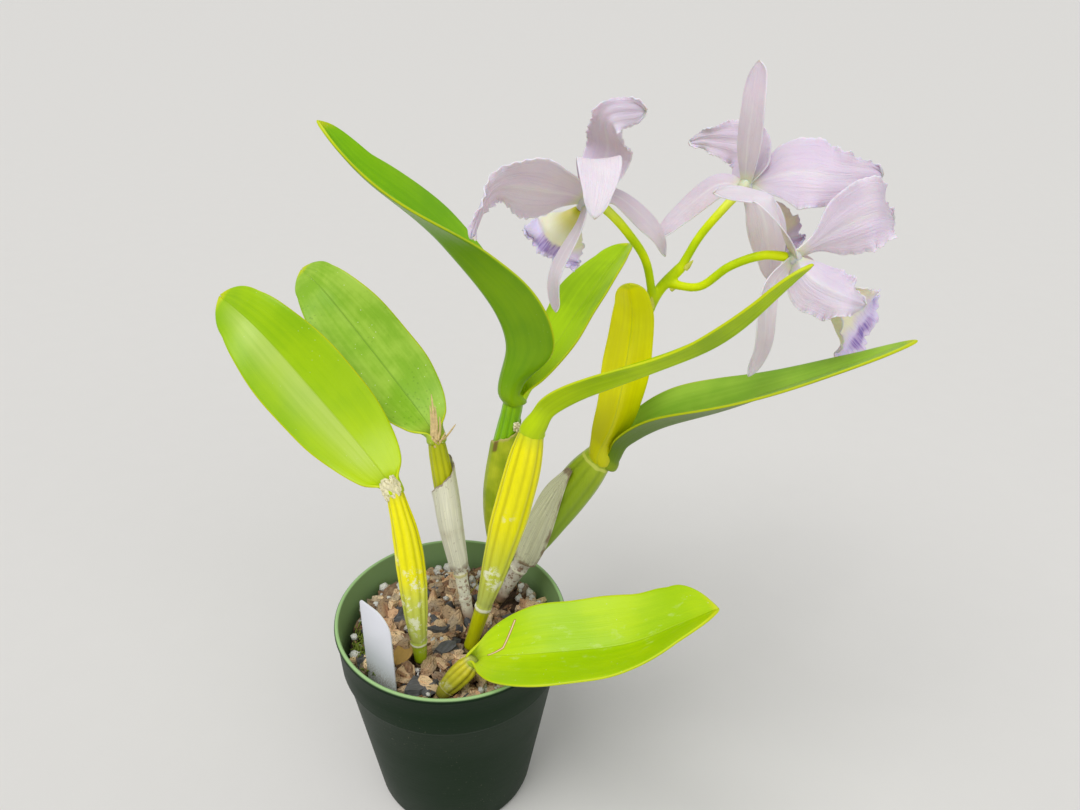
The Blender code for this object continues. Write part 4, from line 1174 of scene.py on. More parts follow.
class ORCHID_OT_pot(bpy.types.Operator):
    """Make the plastic nursery pot"""

    bl_idname = "orchid.pot"
    bl_label = "Pot"

    def execute(self, context):
        settings = context.scene.orchid.pot
        base, rim, shoulder, top = POT_BASE_RADIUS, POT_RIM_RADIUS, POT_SHOULDER, POT_HEIGHT
        band = rim - 1.6
        rings = [
            (base - 2.6, 0), (base - 1.2, 0.35), (base - 0.2, 1.4), (pot_outside(4), 4), (pot_outside(34), 34),
            (pot_outside(66), 66), (pot_outside(shoulder - 1.6), shoulder - 1.6),
            (pot_outside(shoulder) + 0.15, shoulder - 0.9), (band - 1.5, shoulder - 0.2),
            (band - 0.9, shoulder + 0.6), (band - 0.6, shoulder + 1.8), (band, shoulder + 13),
            (band + 0.55, top - 3.2), (band + 0.9, top - 2.5), (rim - 0.15, top - 2.0), (rim, top - 1.3),
            (rim - 0.15, top - 0.3), (rim - 0.8, top + 0.35), (rim - 1.6, top + 0.5), (rim - 2.3, top + 0.1),
            (rim - 2.5, top - 0.8), (rim - 3.3, shoulder + 14), (pot_inside(shoulder) + 0.3, shoulder + 2),
            (pot_inside(shoulder), shoulder - 1), (pot_inside(50), 50), (pot_inside(6), 6),
            (pot_inside(2.4) - 1.4, 2.4), (pot_inside(2) - 4, POT_WALL),
        ]
        deselect()
        radius, height = rings[0]
        bpy.ops.mesh.primitive_circle_add(vertices=POT_SIDES, radius=radius * MM, fill_type="NGON")
        pot = fresh("pot_shell")
        edit(pot)
        for wide, high in rings[1:]:
            bpy.ops.mesh.extrude_region_move(TRANSFORM_OT_translate={"value": (0, 0, (high - height) * MM)})
            bpy.ops.transform.resize(value=(wide / radius, wide / radius, 1))
            radius, height = wide, high
        bpy.ops.mesh.select_all(action="SELECT")
        bpy.ops.mesh.normals_make_consistent(inside=False)
        leave()
        for index in range(DRAIN_HOLES):
            angle = 2 * math.pi * (index + 0.5) / DRAIN_HOLES
            deselect()
            bpy.ops.mesh.primitive_cylinder_add(
                vertices=32, radius=DRAIN_RADIUS * MM, depth=0.012,
                location=(DRAIN_CIRCLE * MM * math.cos(angle), DRAIN_CIRCLE * MM * math.sin(angle), 0),
            )
            drill = fresh("drill")
            use(pot, "BOOLEAN", operation="DIFFERENCE", object=drill, solver="EXACT")
            bpy.data.objects.remove(drill, do_unlink=True)
        pick(pot)
        bpy.ops.object.shade_smooth_by_angle(angle=math.radians(32))
        dress(pot, plastic("pot_plastic", settings.pot_green, settings.pot_lit_green))
        settle(pot, "pot", "pot")
        return {"FINISHED"}


def mound(x, y):
    """Height of the mix's surface under the chips."""
    return MIX_TOP + MIX_MOUND * (1 - (x * x + y * y) / MOUND_SPREAD**2)


def stem_feet():
    """Where the stems come out of the mix."""
    paths = [smooth_path(bulb["axis"], 40) for bulb in PSEUDOBULBS.values()]
    return [(path[at][0], path[at][1]) for path in paths for at in (0, 4, 8)]


def flake(name, sides, seed, step):
    """A broken chip: a many-sided slab, knocked out of true, with perhaps a thinner layer left on top."""
    deselect()
    bpy.ops.mesh.primitive_cylinder_add(vertices=sides, radius=0.5, depth=1, end_fill_type="NGON")
    obj = fresh(name)
    rng = np.random.default_rng(seed)
    pick(obj)
    bpy.ops.object.mode_set(mode="EDIT")
    mesh = bmesh.from_edit_mesh(obj.data)
    for face in mesh.faces:
        face.select_set(face.normal.z > 0.9)
    bmesh.update_edit_mesh(obj.data)
    if step:
        bpy.ops.mesh.inset(thickness=0.07)
        bpy.ops.mesh.extrude_region_move(TRANSFORM_OT_translate={"value": (0.06, -0.03, 0.28)})
        bpy.ops.transform.resize(value=(0.86, 0.8, 1))
    else:
        bpy.ops.transform.resize(value=(0.72, 0.8, 1))
    leave()
    co = points_of(obj)
    turn = np.arctan2(co[:, 1], co[:, 0])
    a, b, c = rng.uniform(0, 6.28, 3)
    reach = 1 + 0.2 * np.sin(2 * turn + a) + 0.15 * np.sin(3 * turn + b) + 0.12 * np.sin(5 * turn + c)
    co[:, :2] *= reach[:, None]
    co[:, 2] += rng.uniform(-0.25, 0.25) * co[:, 0] + rng.uniform(-0.2, 0.2) * co[:, 1]
    co += rng.uniform(-0.045, 0.045, co.shape) * np.array([1, 1, 1.6])
    move_points(obj, co)
    return obj


def scatter(name, shapes, places, finish):
    """Copies of the shapes at places (point, size, turn, tone), each with its own mesh, as one piece."""
    made = []
    for index, (at, size, turn, tone) in enumerate(places):
        shape = shapes[index % len(shapes)]
        copy = shape.copy()
        copy.data = shape.data.copy()
        bpy.context.scene.collection.objects.link(copy)
        co = points_of(copy)
        store(copy, "tone", np.full(len(co), tone))
        layer = copy.data.attributes.new("grain", "FLOAT_VECTOR", "POINT")
        layer.data.foreach_set("vector", ((co * size + 37.0 * index) * MM).astype(np.float32).ravel())
        scale = Matrix.Diagonal((*(np.array(size) * MM), 1))
        copy.data.transform(Matrix.Translation(Vector(at) * MM) @ turn.to_4x4() @ scale)
        made.append(copy)
    piece = join(name, made)
    for shape in shapes:
        bpy.data.objects.remove(shape, do_unlink=True)
    dress(piece, finish)
    return piece


def tumble(rng, tilt):
    """A turn about Z after a lean of up to tilt radians."""
    return (
        Matrix.Rotation(rng.uniform(0, 2 * math.pi), 3, "Z")
        @ Matrix.Rotation(rng.uniform(-tilt, tilt), 3, "X")
        @ Matrix.Rotation(rng.uniform(-tilt, tilt), 3, "Y")
    )


def free_spot(rng, feet, reach, room=0.0):
    """A place up to reach from the mound's middle that is clear of the stems and the label."""
    for _ in range(200):
        radius = reach * math.sqrt(rng.random())
        angle = rng.uniform(0, 2 * math.pi)
        x, y = radius * math.cos(angle), radius * math.sin(angle)
        if all(math.hypot(x - fx, y - fy) > STEM_ROOM + room for fx, fy in feet):
            if not near_label(x, y, LABEL_ROOM + room):
                return x, y
    raise RuntimeError("there is no free place on the mix")


def near_label(x, y, room):
    """Whether a place on the mound is closer to the label than room."""
    turn = math.radians(LABEL["turn"])
    dx, dy = x - LABEL["foot"][0] + 1.0, y - LABEL["foot"][1] - 2.0
    along = dx * math.cos(turn) + dy * math.sin(turn)
    off = -dx * math.sin(turn) + dy * math.cos(turn)
    return abs(along) < LABEL["width"] / 2 + room and abs(off) < room + 1.0


def lie(rng, x, y, sink, size, tilt):
    """One loose piece at x and y: its place in or on the mound, its size, its lean and its tone."""
    return (x, y, mound(x, y) + rng.uniform(*sink)), size, tumble(rng, tilt), rng.random()


def strew(rng, feet, count, reach, room, sizes, sink, tilt):
    """Loose pieces at free spots, each with a length, a width and a height from the ranges in sizes."""
    places = []
    for _ in range(count):
        x, y = free_spot(rng, feet, reach, room)
        size = tuple(rng.uniform(*limits) for limits in sizes)
        places.append(lie(rng, x, y, sink, size, tilt))
    return places


# Larger pieces of the mix that the eye finds first: kind, X, Y, size and turn in degrees
LANDMARKS = [
    ("charcoal", (-14, -44), (15, 10, 7), 20),
    ("charcoal", (-1, -18), (13, 9, 7), 60),
    ("charcoal", (-6, -4), (8, 11, 6), 100),
    ("charcoal", (-27, 2), (9, 7, 6), 10),
    ("charcoal", (33, 5), (12, 8, 7), 150),
    ("charcoal", (14, 22), (10, 7, 6), 70),
    ("bark", (45, 16), (17, 9, 7), -20),
    ("bark", (40, 4), (15, 8, 6), 30),
    ("bark", (-38, -14), (13, 9, 6), 70),
    ("bark", (-36, -2), (14, 8, 5), 110),
    ("bark", (-24, -18), (12, 9, 6), 45),
    ("bark", (-2, 6), (14, 9, 6), -35),
    ("bark", (-10, 14), (12, 8, 6), 20),
    ("bark", (2, 2), (13, 8, 5), 70),
    ("bark", (-20, -34), (13, 8, 6), -60),
    ("bark", (30, -22), (14, 9, 6), 15),
]


# The largest white grains: X, Y and width
WHITE_LUMPS = [
    (-52, 13, 7), (-50, -22, 6.5), (-53, -9, 5.5), (-44, 32, 7.5), (-14, 50, 6), (-8, 52, 7), (-2, 48, 5.5),
    (4, 50, 6), (18, 50, 7), (12, 46, 5.5), (-20, 40, 6), (-24, 36, 5.5), (7, 40, 6), (27, 30, 6),
    (43, 31, 6.5), (38, 36, 6), (48, 22, 5),
]

# Where the smaller white grains lie thick: X, Y and spread
WHITE_NESTS = [
    (-48, -14, 5), (-46, 8, 5), (-14, 46, 6), (-4, 44, 6), (16, 46, 5), (8, 34, 5), (-22, 40, 6), (42, 28, 5),
    (-44, -26, 4), (26, 26, 5), (28, -36, 4), (-34, 30, 5),
]


class ORCHID_OT_potting_mix(bpy.types.Operator):
    """Make the potting mix: bark, charcoal, perlite, crumbs and a little moss"""

    bl_idname = "orchid.potting_mix"
    bl_label = "Potting mix"

    def execute(self, context):
        settings = context.scene.orchid.pot
        rng = random.Random(11)
        feet = stem_feet()
        settle(self.core(), "potting_mix", "potting_mix")
        bark, charcoal = [], []
        for kind, (x, y), size, turn in LANDMARKS:
            lean = Matrix.Rotation(rng.uniform(-0.35, 0.35), 3, "X")
            turned = Matrix.Rotation(math.radians(turn), 3, "Z") @ lean
            spot = ((x, y, mound(x, y) + 2.2), size, turned, rng.uniform(0.35, 0.9))
            (charcoal if kind == "charcoal" else bark).append(spot)
        bark += strew(
            rng, feet, settings.bark_count, MIX_REACH, CHIP_ROOM,
            sizes=((8, 17), (5, 9.5), (1.8, 3.8)), sink=(-1.5, 3.0), tilt=0.55,
        )
        charcoal += strew(
            rng, feet, settings.charcoal_count, MIX_REACH - 1, CHIP_ROOM,
            sizes=((6, 12), (4, 8), (3.4, 6)), sink=(-1.0, 2.6), tilt=0.6,
        )
        shapes = [flake(f"bark_shape_{k}", 7 + k % 3, k + 1, k % 3 < 2) for k in range(9)]
        piece = scatter("bark_chips", shapes, bark, bark_finish("bark", settings.bark, settings.bark_dark))
        settle(piece, "potting_mix")
        shapes = [flake(f"coal_shape_{k}", 6 + k % 2, k + 21, False) for k in range(5)]
        piece = scatter("charcoal_pieces", shapes, charcoal, charcoal_finish("charcoal", settings.charcoal))
        settle(piece, "potting_mix")
        self.perlite(settings, rng, feet)
        self.crumbs(settings, rng, feet)
        self.moss(settings, rng)
        self.dead_leaf()
        self.tendril()
        return {"FINISHED"}

    def core(self):
        """The body of the mix, which closes off what lies under the chips."""
        stops = np.array([
            (0.0, mound(0, 0) - 2.5), (20, mound(20, 0) - 2.5), (40, mound(40, 0) - 2.5),
            (56.2, mound(56, 0) - 2.5), (pot_inside(POT_SHOULDER - 4) - 0.5, POT_SHOULDER - 4),
            (pot_inside(50) - 0.5, 50), (pot_inside(6) - 0.5 - 0.5, 6), (38, POT_WALL + 0.5),
            (0.0, POT_WALL + 0.5),
        ], float)

        def place(s, u):
            at = s * (len(stops) - 1)
            reach = np.interp(at, range(len(stops)), stops[:, 0])
            height = np.interp(at, range(len(stops)), stops[:, 1])
            turn = math.pi * u
            return np.stack([reach * np.cos(turn), -reach * np.sin(turn), height], axis=-1)

        core = sheet("mix_core", (len(stops) - 1) * 4, 72, place)
        weld(core, 0.00002)
        core.data.shade_smooth()
        dress(core, plain_finish("mix_dust", shade(78, 58, 44), 0.9, 700.0, 0.9, 0.0012))
        return core

    def perlite(self, settings, rng, feet):
        """White grains, thick at the left and the back of the pot."""
        deselect()
        shapes = []
        for seed in range(3):
            bpy.ops.mesh.primitive_ico_sphere_add(subdivisions=1, radius=0.5)
            shape = fresh(f"grain_shape_{seed}")
            edit(shape)
            bpy.ops.transform.vertex_random(offset=0.11, uniform=0.2, seed=seed + 40)
            leave()
            shape.data.shade_smooth()
            shapes.append(shape)
        places = [
            ((x, y, mound(x, y) + 3.4), (wide, wide * 0.9, wide * 0.75), tumble(rng, 3.0), 1.0)
            for x, y, wide in WHITE_LUMPS
        ]
        for index in range(settings.perlite_count):
            if index % 3:
                nx, ny, spread = WHITE_NESTS[index % len(WHITE_NESTS)]
                x, y = nx + rng.gauss(0, spread), ny + rng.gauss(0, spread)
                out = math.hypot(x, y)
                if out > MIX_REACH:
                    x, y = x * (MIX_REACH - 1) / out, y * (MIX_REACH - 1) / out
            else:
                x, y = free_spot(rng, feet, MIX_REACH)
            if near_label(x, y, 1.5):
                continue
            wide = rng.uniform(2.2, 5.4)
            size = (wide, wide * rng.uniform(0.7, 1.0), wide * rng.uniform(0.6, 0.9))
            places.append(lie(rng, x, y, (1.2, 3.6), size, 3.0))
        piece = scatter("perlite_grains", shapes, places, perlite_finish("perlite", settings.perlite))
        settle(piece, "potting_mix")

    def crumbs(self, settings, rng, feet):
        """Small bark crumbs between the chips."""
        shapes = [flake(f"crumb_shape_{k}", 5, k + 60, False) for k in range(4)]
        places = strew(
            rng, feet, settings.crumb_count, MIX_REACH + 1, 0.0,
            sizes=((1.5, 4.0), (1.0, 2.6), (0.8, 1.8)), sink=(-0.5, 3.4), tilt=3.0,
        )
        finish = bark_finish("bark_crumb", shade(186, 144, 104), shade(104, 78, 58), 2.0)
        settle(scatter("bark_crumbs", shapes, places, finish), "potting_mix")

    def moss(self, settings, rng):
        """A low cushion of moss threads by the rim on the left."""
        made = []
        for index in range(MOSS_THREADS):
            angle = math.radians(rng.gauss(196, 11))
            radius = rng.uniform(46, 54.5)
            x, y = radius * math.cos(angle), radius * math.sin(angle)
            z = mound(x, y) + rng.uniform(0.5, 2.0)
            dx, dy = rng.uniform(-2.5, 2.5), rng.uniform(-2.5, 2.5)
            top = z + rng.uniform(2.5, 4.5)
            spec = {
                "midrib": [(x, y, z), (x + dx * 0.4, y + dy * 0.4, z + 2), (x + dx, y + dy, top)],
                "facing": (rng.uniform(-1, 1), rng.uniform(-1, 1), 0.1), "twist": 40,
                "half_widths": [0.5, 0.6, 0.45, 0.2],
            }
            made.append(sheet(f"moss_{index}", 4, 1, blade(spec)))
        tuft = join("moss_tuft", made)
        finish = plain_finish("moss", settings.moss, 0.85, 400.0, 0.9)
        thicken(tuft, 0.0003, [finish], 0)
        settle(tuft, "potting_mix")

    def dead_leaf(self):
        """A tan scrap of old leaf on the mix."""
        spec = {
            "midrib": [(-27, -30, 112.5), (-24, -26, 114.6), (-22, -20, 115.2), (-21, -14, 113.4)],
            "facing": (0.2, -0.3, 0.9), "twist": 25, "half_widths": [1.0, 4.4, 5.0, 3.4, 1.0],
        }
        place = blade(spec, (15, -10), waves=lambda s, u, width: (0, 0.5 * np.sin(9 * s + 4 * u), 0))
        scrap = sheet("leaf_scrap", 12, 6, place)
        thicken(scrap, 0.0005, [plain_finish("dry_leaf", shade(186, 148, 78), 0.7, 260.0, 0.6)])
        settle(scrap, "potting_mix")

    def tendril(self):
        """A thin dry tendril that stands by a bulb."""
        axis = [(6, 23, 112), (9, 22, 118), (12, 21, 123.5), (12.8, 20.6, 128)]
        tendril = rolled("dry_tendril", axis, lambda s, turn: 0.75 * (1 - 0.6 * s), 24, 8)
        dress(tendril, plain_finish("tendril", shade(172, 158, 84), 0.6, 300.0, 0.5))
        settle(tendril, "potting_mix")


class ORCHID_OT_plant_label(bpy.types.Operator):
    """Make the blank plant label"""

    bl_idname = "orchid.plant_label"
    bl_label = "Plant label"

    def execute(self, context):
        deselect()
        bpy.ops.mesh.primitive_cube_add(size=1)
        label = fresh("label_plate")
        wide, thick, long = LABEL["width"], LABEL["thickness"], LABEL["length"]
        move_points(label, (points_of(label) + np.array([0, 0, 0.5])) * np.array([wide, thick, long]) * MM)
        pick(label)
        bpy.ops.object.mode_set(mode="EDIT")
        mesh = bmesh.from_edit_mesh(label.data)
        for corner, radius in LABEL_CORNERS:
            at = corner * wide * MM
            bpy.ops.mesh.select_all(action="DESELECT")
            for point in mesh.verts:
                point.select_set(abs(point.co.x - at) < 1e-5 and abs(point.co.z - long * MM) < 1e-5)
            mesh.select_flush_mode()
            mesh.select_flush(True)
            bmesh.update_edit_mesh(label.data)
            bpy.ops.mesh.bevel(offset=radius, segments=12, affect="EDGES", profile=0.5)
            mesh = bmesh.from_edit_mesh(label.data)
        for height in LABEL_CUTS:
            bpy.ops.mesh.select_all(action="SELECT")
            bpy.ops.mesh.bisect(plane_co=(0, 0, height), plane_no=(0, 0, 1))
        leave()
        use(label, "BEVEL", width=0.00022, segments=2, limit_method="ANGLE", angle_limit=math.radians(50))
        co = points_of(label) / MM
        share = co[:, 2] / long
        co[:, 1] += 0.5 * (co[:, 0] / 11) ** 2 * share
        turn = math.radians(LABEL["turn"])
        x = co[:, 0] * math.cos(turn) - co[:, 1] * math.sin(turn) + LABEL_LEAN[0] * share
        y = co[:, 0] * math.sin(turn) + co[:, 1] * math.cos(turn) + LABEL_LEAN[1] * share
        move_points(label, (np.stack([x, y, co[:, 2]], axis=1) + np.array(LABEL["foot"])) * MM)
        bpy.ops.object.shade_smooth_by_angle(angle=math.radians(30))
        f = Finish("label_plastic", Specular_IOR_Level=0.5)
        where = f.place()
        grain = f.noise(where, 1200.0, 2.0)
        smear = f.noise(where, 60.0, 3.0)
        _, _, z = f.parts(where)
        soil = f.step(z + (smear - 0.5) * 0.02, 0.122, 0.108) * f.step(grain, 0.35, 0.6)
        base = f.brighten(context.scene.orchid.pot.label, 0.97 + 0.05 * smear)
        base = f.mix(soil * 0.5, base, shade(140, 122, 100))
        dress(label, f.done(base, 0.34 + 0.14 * smear, grain, 0.00005))
        settle(label, "plant_label", "plant_label")
        return {"FINISHED"}


class ORCHID_OT_rhizome(bpy.types.Operator):
    """Give the creeping rhizome its woody finish"""

    bl_idname = "orchid.rhizome"
    bl_label = "Rhizome"

    def execute(self, context):
        f = Finish("rhizome_wood")
        where = f.place()
        bands = f.noise(f.point(*[n * k for n, k in zip(f.parts(where), (1.0, 1.0, 4.0))]), 240.0, 4.0, 0.6)
        base = f.mix(f.step(bands, 0.4, 0.65), shade(96, 74, 44), shade(168, 146, 98))
        dress(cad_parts["rhizome"], f.done(base, 0.7 + 0.2 * bands, bands, 0.0005))
        return {"FINISHED"}


class ORCHID_OT_pseudobulbs(bpy.types.Operator):
    """Make the six ribbed pseudobulbs"""

    bl_idname = "orchid.pseudobulbs"
    bl_label = "Pseudobulbs"

    def execute(self, context):
        plant = context.scene.orchid.plant
        yellow, green = plant.bulb_yellow, plant.bulb_green
        white, brown = plant.paper, plant.scorch
        ring = shade(232, 230, 206)
        looks = {
            "front_left": dict(
                stops=[
                    (0.0, shade(150, 178, 10)), (0.13, shade(164, 190, 24)), (0.18, shade(190, 202, 96)),
                    (0.42, shade(204, 210, 80)), (0.56, yellow), (0.93, yellow), (1.0, shade(206, 204, 40)),
                ],
                groove_shade=shade(142, 138, 0), wax=0.75, wax_window=(0.12, 0.68), rings=[(0.15, ring)],
            ),
            "back_left": dict(
                stops=[
                    (0.0, shade(160, 140, 100)), (0.7, shade(178, 186, 30)), (0.84, shade(196, 198, 16)),
                    (1.0, shade(170, 178, 20)),
                ],
                groove_shade=shade(126, 134, 4), papery=(0.02, 0.34, white, shade(150, 112, 86)),
                rings=[(0.13, ring), (0.27, shade(222, 214, 150))],
            ),
            "back_centre": dict(
                stops=[
                    (0.0, shade(128, 150, 50)), (0.3, shade(120, 164, 40)), (0.6, green),
                    (0.9, shade(128, 186, 4)), (1.0, shade(150, 200, 10)),
                ],
                groove_shade=shade(96, 150, 6), rings=[(0.2, ring)],
            ),
            "centre": dict(
                stops=[
                    (0.0, shade(176, 184, 0)), (0.2, shade(190, 194, 0)), (0.25, shade(186, 196, 100)),
                    (0.45, shade(204, 208, 60)), (0.62, yellow), (0.92, yellow), (1.0, shade(196, 206, 30)),
                ],
                groove_shade=shade(150, 140, 0), wax=0.8, wax_window=(0.27, 0.66), rings=[(0.225, ring)],
            ),
            "flowering": dict(
                stops=[
                    (0.0, shade(150, 120, 90)), (0.34, shade(126, 150, 30)), (0.6, shade(132, 162, 20)),
                    (0.88, shade(146, 170, 26)), (1.0, shade(170, 188, 40)),
                ],
                groove_shade=shade(108, 134, 10), papery=(0.03, 0.33, shade(206, 200, 186), brown),
                rings=[(0.235, ring), (0.95, shade(198, 206, 90))],
            ),
            "short": dict(
                stops=[
                    (0.0, shade(104, 96, 30)), (0.2, shade(150, 148, 40)), (0.5, shade(184, 180, 40)),
                    (0.84, shade(206, 196, 30)), (0.95, shade(190, 192, 110)), (1.0, shade(176, 180, 96)),
                ],
                groove_shade=shade(112, 104, 14), wax=0.6, wax_window=(0.1, 0.5),
                rings=[(0.2, shade(170, 160, 110))], skin=0.42,
            ),
        }
        for name, bulb in PSEUDOBULBS.items():
            piece = self.bulb(f"bulb_{name}", bulb)
            dress(piece, bulb_finish(f"bulb_{name}", **looks[name]))
            kind = "pseudobulb_green" if name in ("back_centre", "flowering") else "pseudobulb_yellow"
            settle(piece, kind, f"pseudobulb_{name}")
        return {"FINISHED"}

    def bulb(self, name, bulb):
        """A swollen stem with round ribs, sharp grooves between them and old scale rings."""
        seed = len(name) * 1.7
        ribs, depth, slim = bulb["ribs"], bulb["depth"], bulb.get("slim", 1.0)

        def ribbing(s, turn):
            drift = 0.10 * np.sin(5 * s + seed) + 0.05 * np.sin(13 * s + 2 * turn)
            drift = drift + 0.45 * np.sin(turn + seed) + 0.3 * np.sin(2 * turn - seed)
            wave = np.abs(np.cos((ribs * turn) / 2 + drift)) ** 1.25 * 2 - 1
            fade = climb(s, 0.1, 0.25) * np.clip((1.02 - s) / 0.1, 0, 1)
            uneven = 0.75 + 0.25 * np.sin(3 * turn + seed) + 0.2 * np.sin(2 * turn + 4 * s)
            return wave, fade * uneven

        def radius_at(s, turn):
            wave, fade = ribbing(s, turn)
            radius = even(bulb["radii"], s) * (slim + (1 - slim) * ease(s, 0.9, 0.96))
            radius = radius * (1 + depth * wave * fade)
            for ring in bulb["rings"]:
                collar = np.exp(-(((s - ring) / 0.010) ** 2)) * 0.45
                hollow = np.exp(-(((s - ring - 0.022) / 0.012) ** 2)) * 0.25
                radius = radius + (collar - hollow) * (1 + 0.3 * np.sin(3 * turn + seed))
            return radius + 0.06 * np.sin(40 * s + 3 * turn) * fade

        rings = 60 if name == "bulb_short" else 130
        obj = rolled(name, bulb["axis"], radius_at, rings, 96)
        s, turn = self.where(obj)
        wave, fade = ribbing(s, turn)
        store(obj, "rib", wave * np.clip(fade, 0, 1))
        return obj

    def where(self, obj):
        """The share along the bulb and the turn round it for each point, read from its UV map."""
        s, turn = np.zeros(len(obj.data.vertices)), np.zeros(len(obj.data.vertices))
        layer = obj.data.uv_layers.active.data
        loops = obj.data.loops
        vert = np.empty(len(loops), np.int32)
        loops.foreach_get("vertex_index", vert)
        uv = np.empty(len(loops) * 2, np.float32)
        layer.foreach_get("uv", uv)
        uv = uv.reshape(-1, 2)
        s[vert], turn[vert] = uv[:, 0], (uv[:, 1] * 2 - 1) * math.pi
        return s, turn


class ORCHID_OT_leaves(bpy.types.Operator):
    """Make the eight thick strap leaves"""

    bl_idname = "orchid.leaves"
    bl_label = "Leaves"

    def execute(self, context):
        plant = context.scene.orchid.plant
        old = plant.leaf_old
        looks = {
            "front_left": dict(
                # band: a painted sheen beside the midrib of the near half.
                green=shade(160, 200, 0), deep=shade(140, 186, 0), band=(-1, shade(206, 222, 128), 0.7),
                under=(shade(164, 198, 20), shade(146, 184, 14)), flecks=0.3, pale_foot=0.5,
                foot=shade(206, 226, 0),
            ),
            "back_left": dict(
                green=shade(168, 204, 70), deep=shade(138, 184, 40), rib=shade(104, 140, 50), rib_amount=0.45,
                under=(shade(150, 190, 60), shade(126, 168, 44)), freckles=0.25, flecks=0.9, rough=0.42,
                blotch=1.6,
            ),
            "back_upper": dict(
                green=shade(146, 206, 0), deep=shade(128, 192, 0),
                under=(shade(128, 172, 0), shade(110, 158, 0)),
                foot=shade(150, 190, 0),
            ),
            "back_right": dict(
                green=shade(170, 208, 0), deep=shade(140, 180, 0),
                under=(shade(140, 180, 10), shade(120, 164, 8)),
                pale_foot=0.5, foot=shade(214, 248, 0),
            ),
            "right_upper": dict(
                green=shade(186, 216, 0), deep=shade(156, 192, 0),
                under=(shade(182, 212, 0), shade(150, 184, 0)), margin=0.05,
                pale_foot=0.3, foot=shade(190, 214, 0),
            ),
            "flower_front": dict(
                green=old, deep=shade(240, 234, 0), under=(old, shade(236, 230, 0)), margin=0.02,
                pale_foot=0.5, foot=shade(150, 156, 0), flecks=0.1,
            ),
            "flower_right": dict(
                green=shade(166, 206, 66), deep=shade(140, 188, 50),
                # The under side is painted much darker as shade.
                under=(shade(100, 130, 2), shade(88, 118, 2)), margin=0.05,
                rough=0.4, pale_foot=0.06, foot=shade(150, 170, 20),
            ),
            "short": dict(
                green=shade(184, 216, 0), deep=shade(164, 204, 0),
                under=(shade(160, 200, 20), shade(140, 186, 14)),
                flecks=0.5, wax=0.3, rib=shade(190, 214, 90), rib_amount=0.25, rough=0.4,
                scars=[(((0.21, -0.8), (0.155, -0.22), (0.09, -0.03)), 0.5)],
            ),
        }
        for name, leaf in LEAVES.items():
            seed = sum(map(ord, name))
            place = blade(leaf, leaf["rise"], waves=self.waves(name, seed))
            piece = sheet(f"blade_{name}", *LEAF_GRID, place)
            finishes = [
                leaf_finish(f"leaf_{name}_under", plant, looks[name], upper=False),
                leaf_finish(f"leaf_{name}_upper", plant, looks[name], upper=True),
            ]
            thicken(piece, plant.leaf_thickness, finishes)
            settle(piece, "leaf_yellow" if name == "flower_front" else "leaf", f"leaf_{name}")
        return {"FINISHED"}

    def waves(self, name, seed):
        """Low swells over a leaf, a slight roll of its margin and, on old leaves, a notched tip."""
        notch = {"front_left": 2.2, "back_left": 1.6, "back_upper": 1.0, "flower_front": 1.4}.get(name, 0.8)

        def shift(s, u, width):
            grow = np.clip(s * 4, 0, 1) * np.clip((1 - s) * 6, 0, 1)
            out = 0.35 * grow * np.sin(7 * s + 2.2 * u + seed) + 0.2 * grow * np.sin(17 * s - 3 * u + seed)
            out = out - 0.5 * grow * np.abs(u) ** 6
            across = 0.18 * grow * np.sin(23 * s + seed) * np.sign(u) * np.abs(u) ** 3
            on = -notch * np.exp(-((u / 0.35) ** 2)) * climb(s, 0.93, 0.07) ** 2
            return across, out, on

        return shift


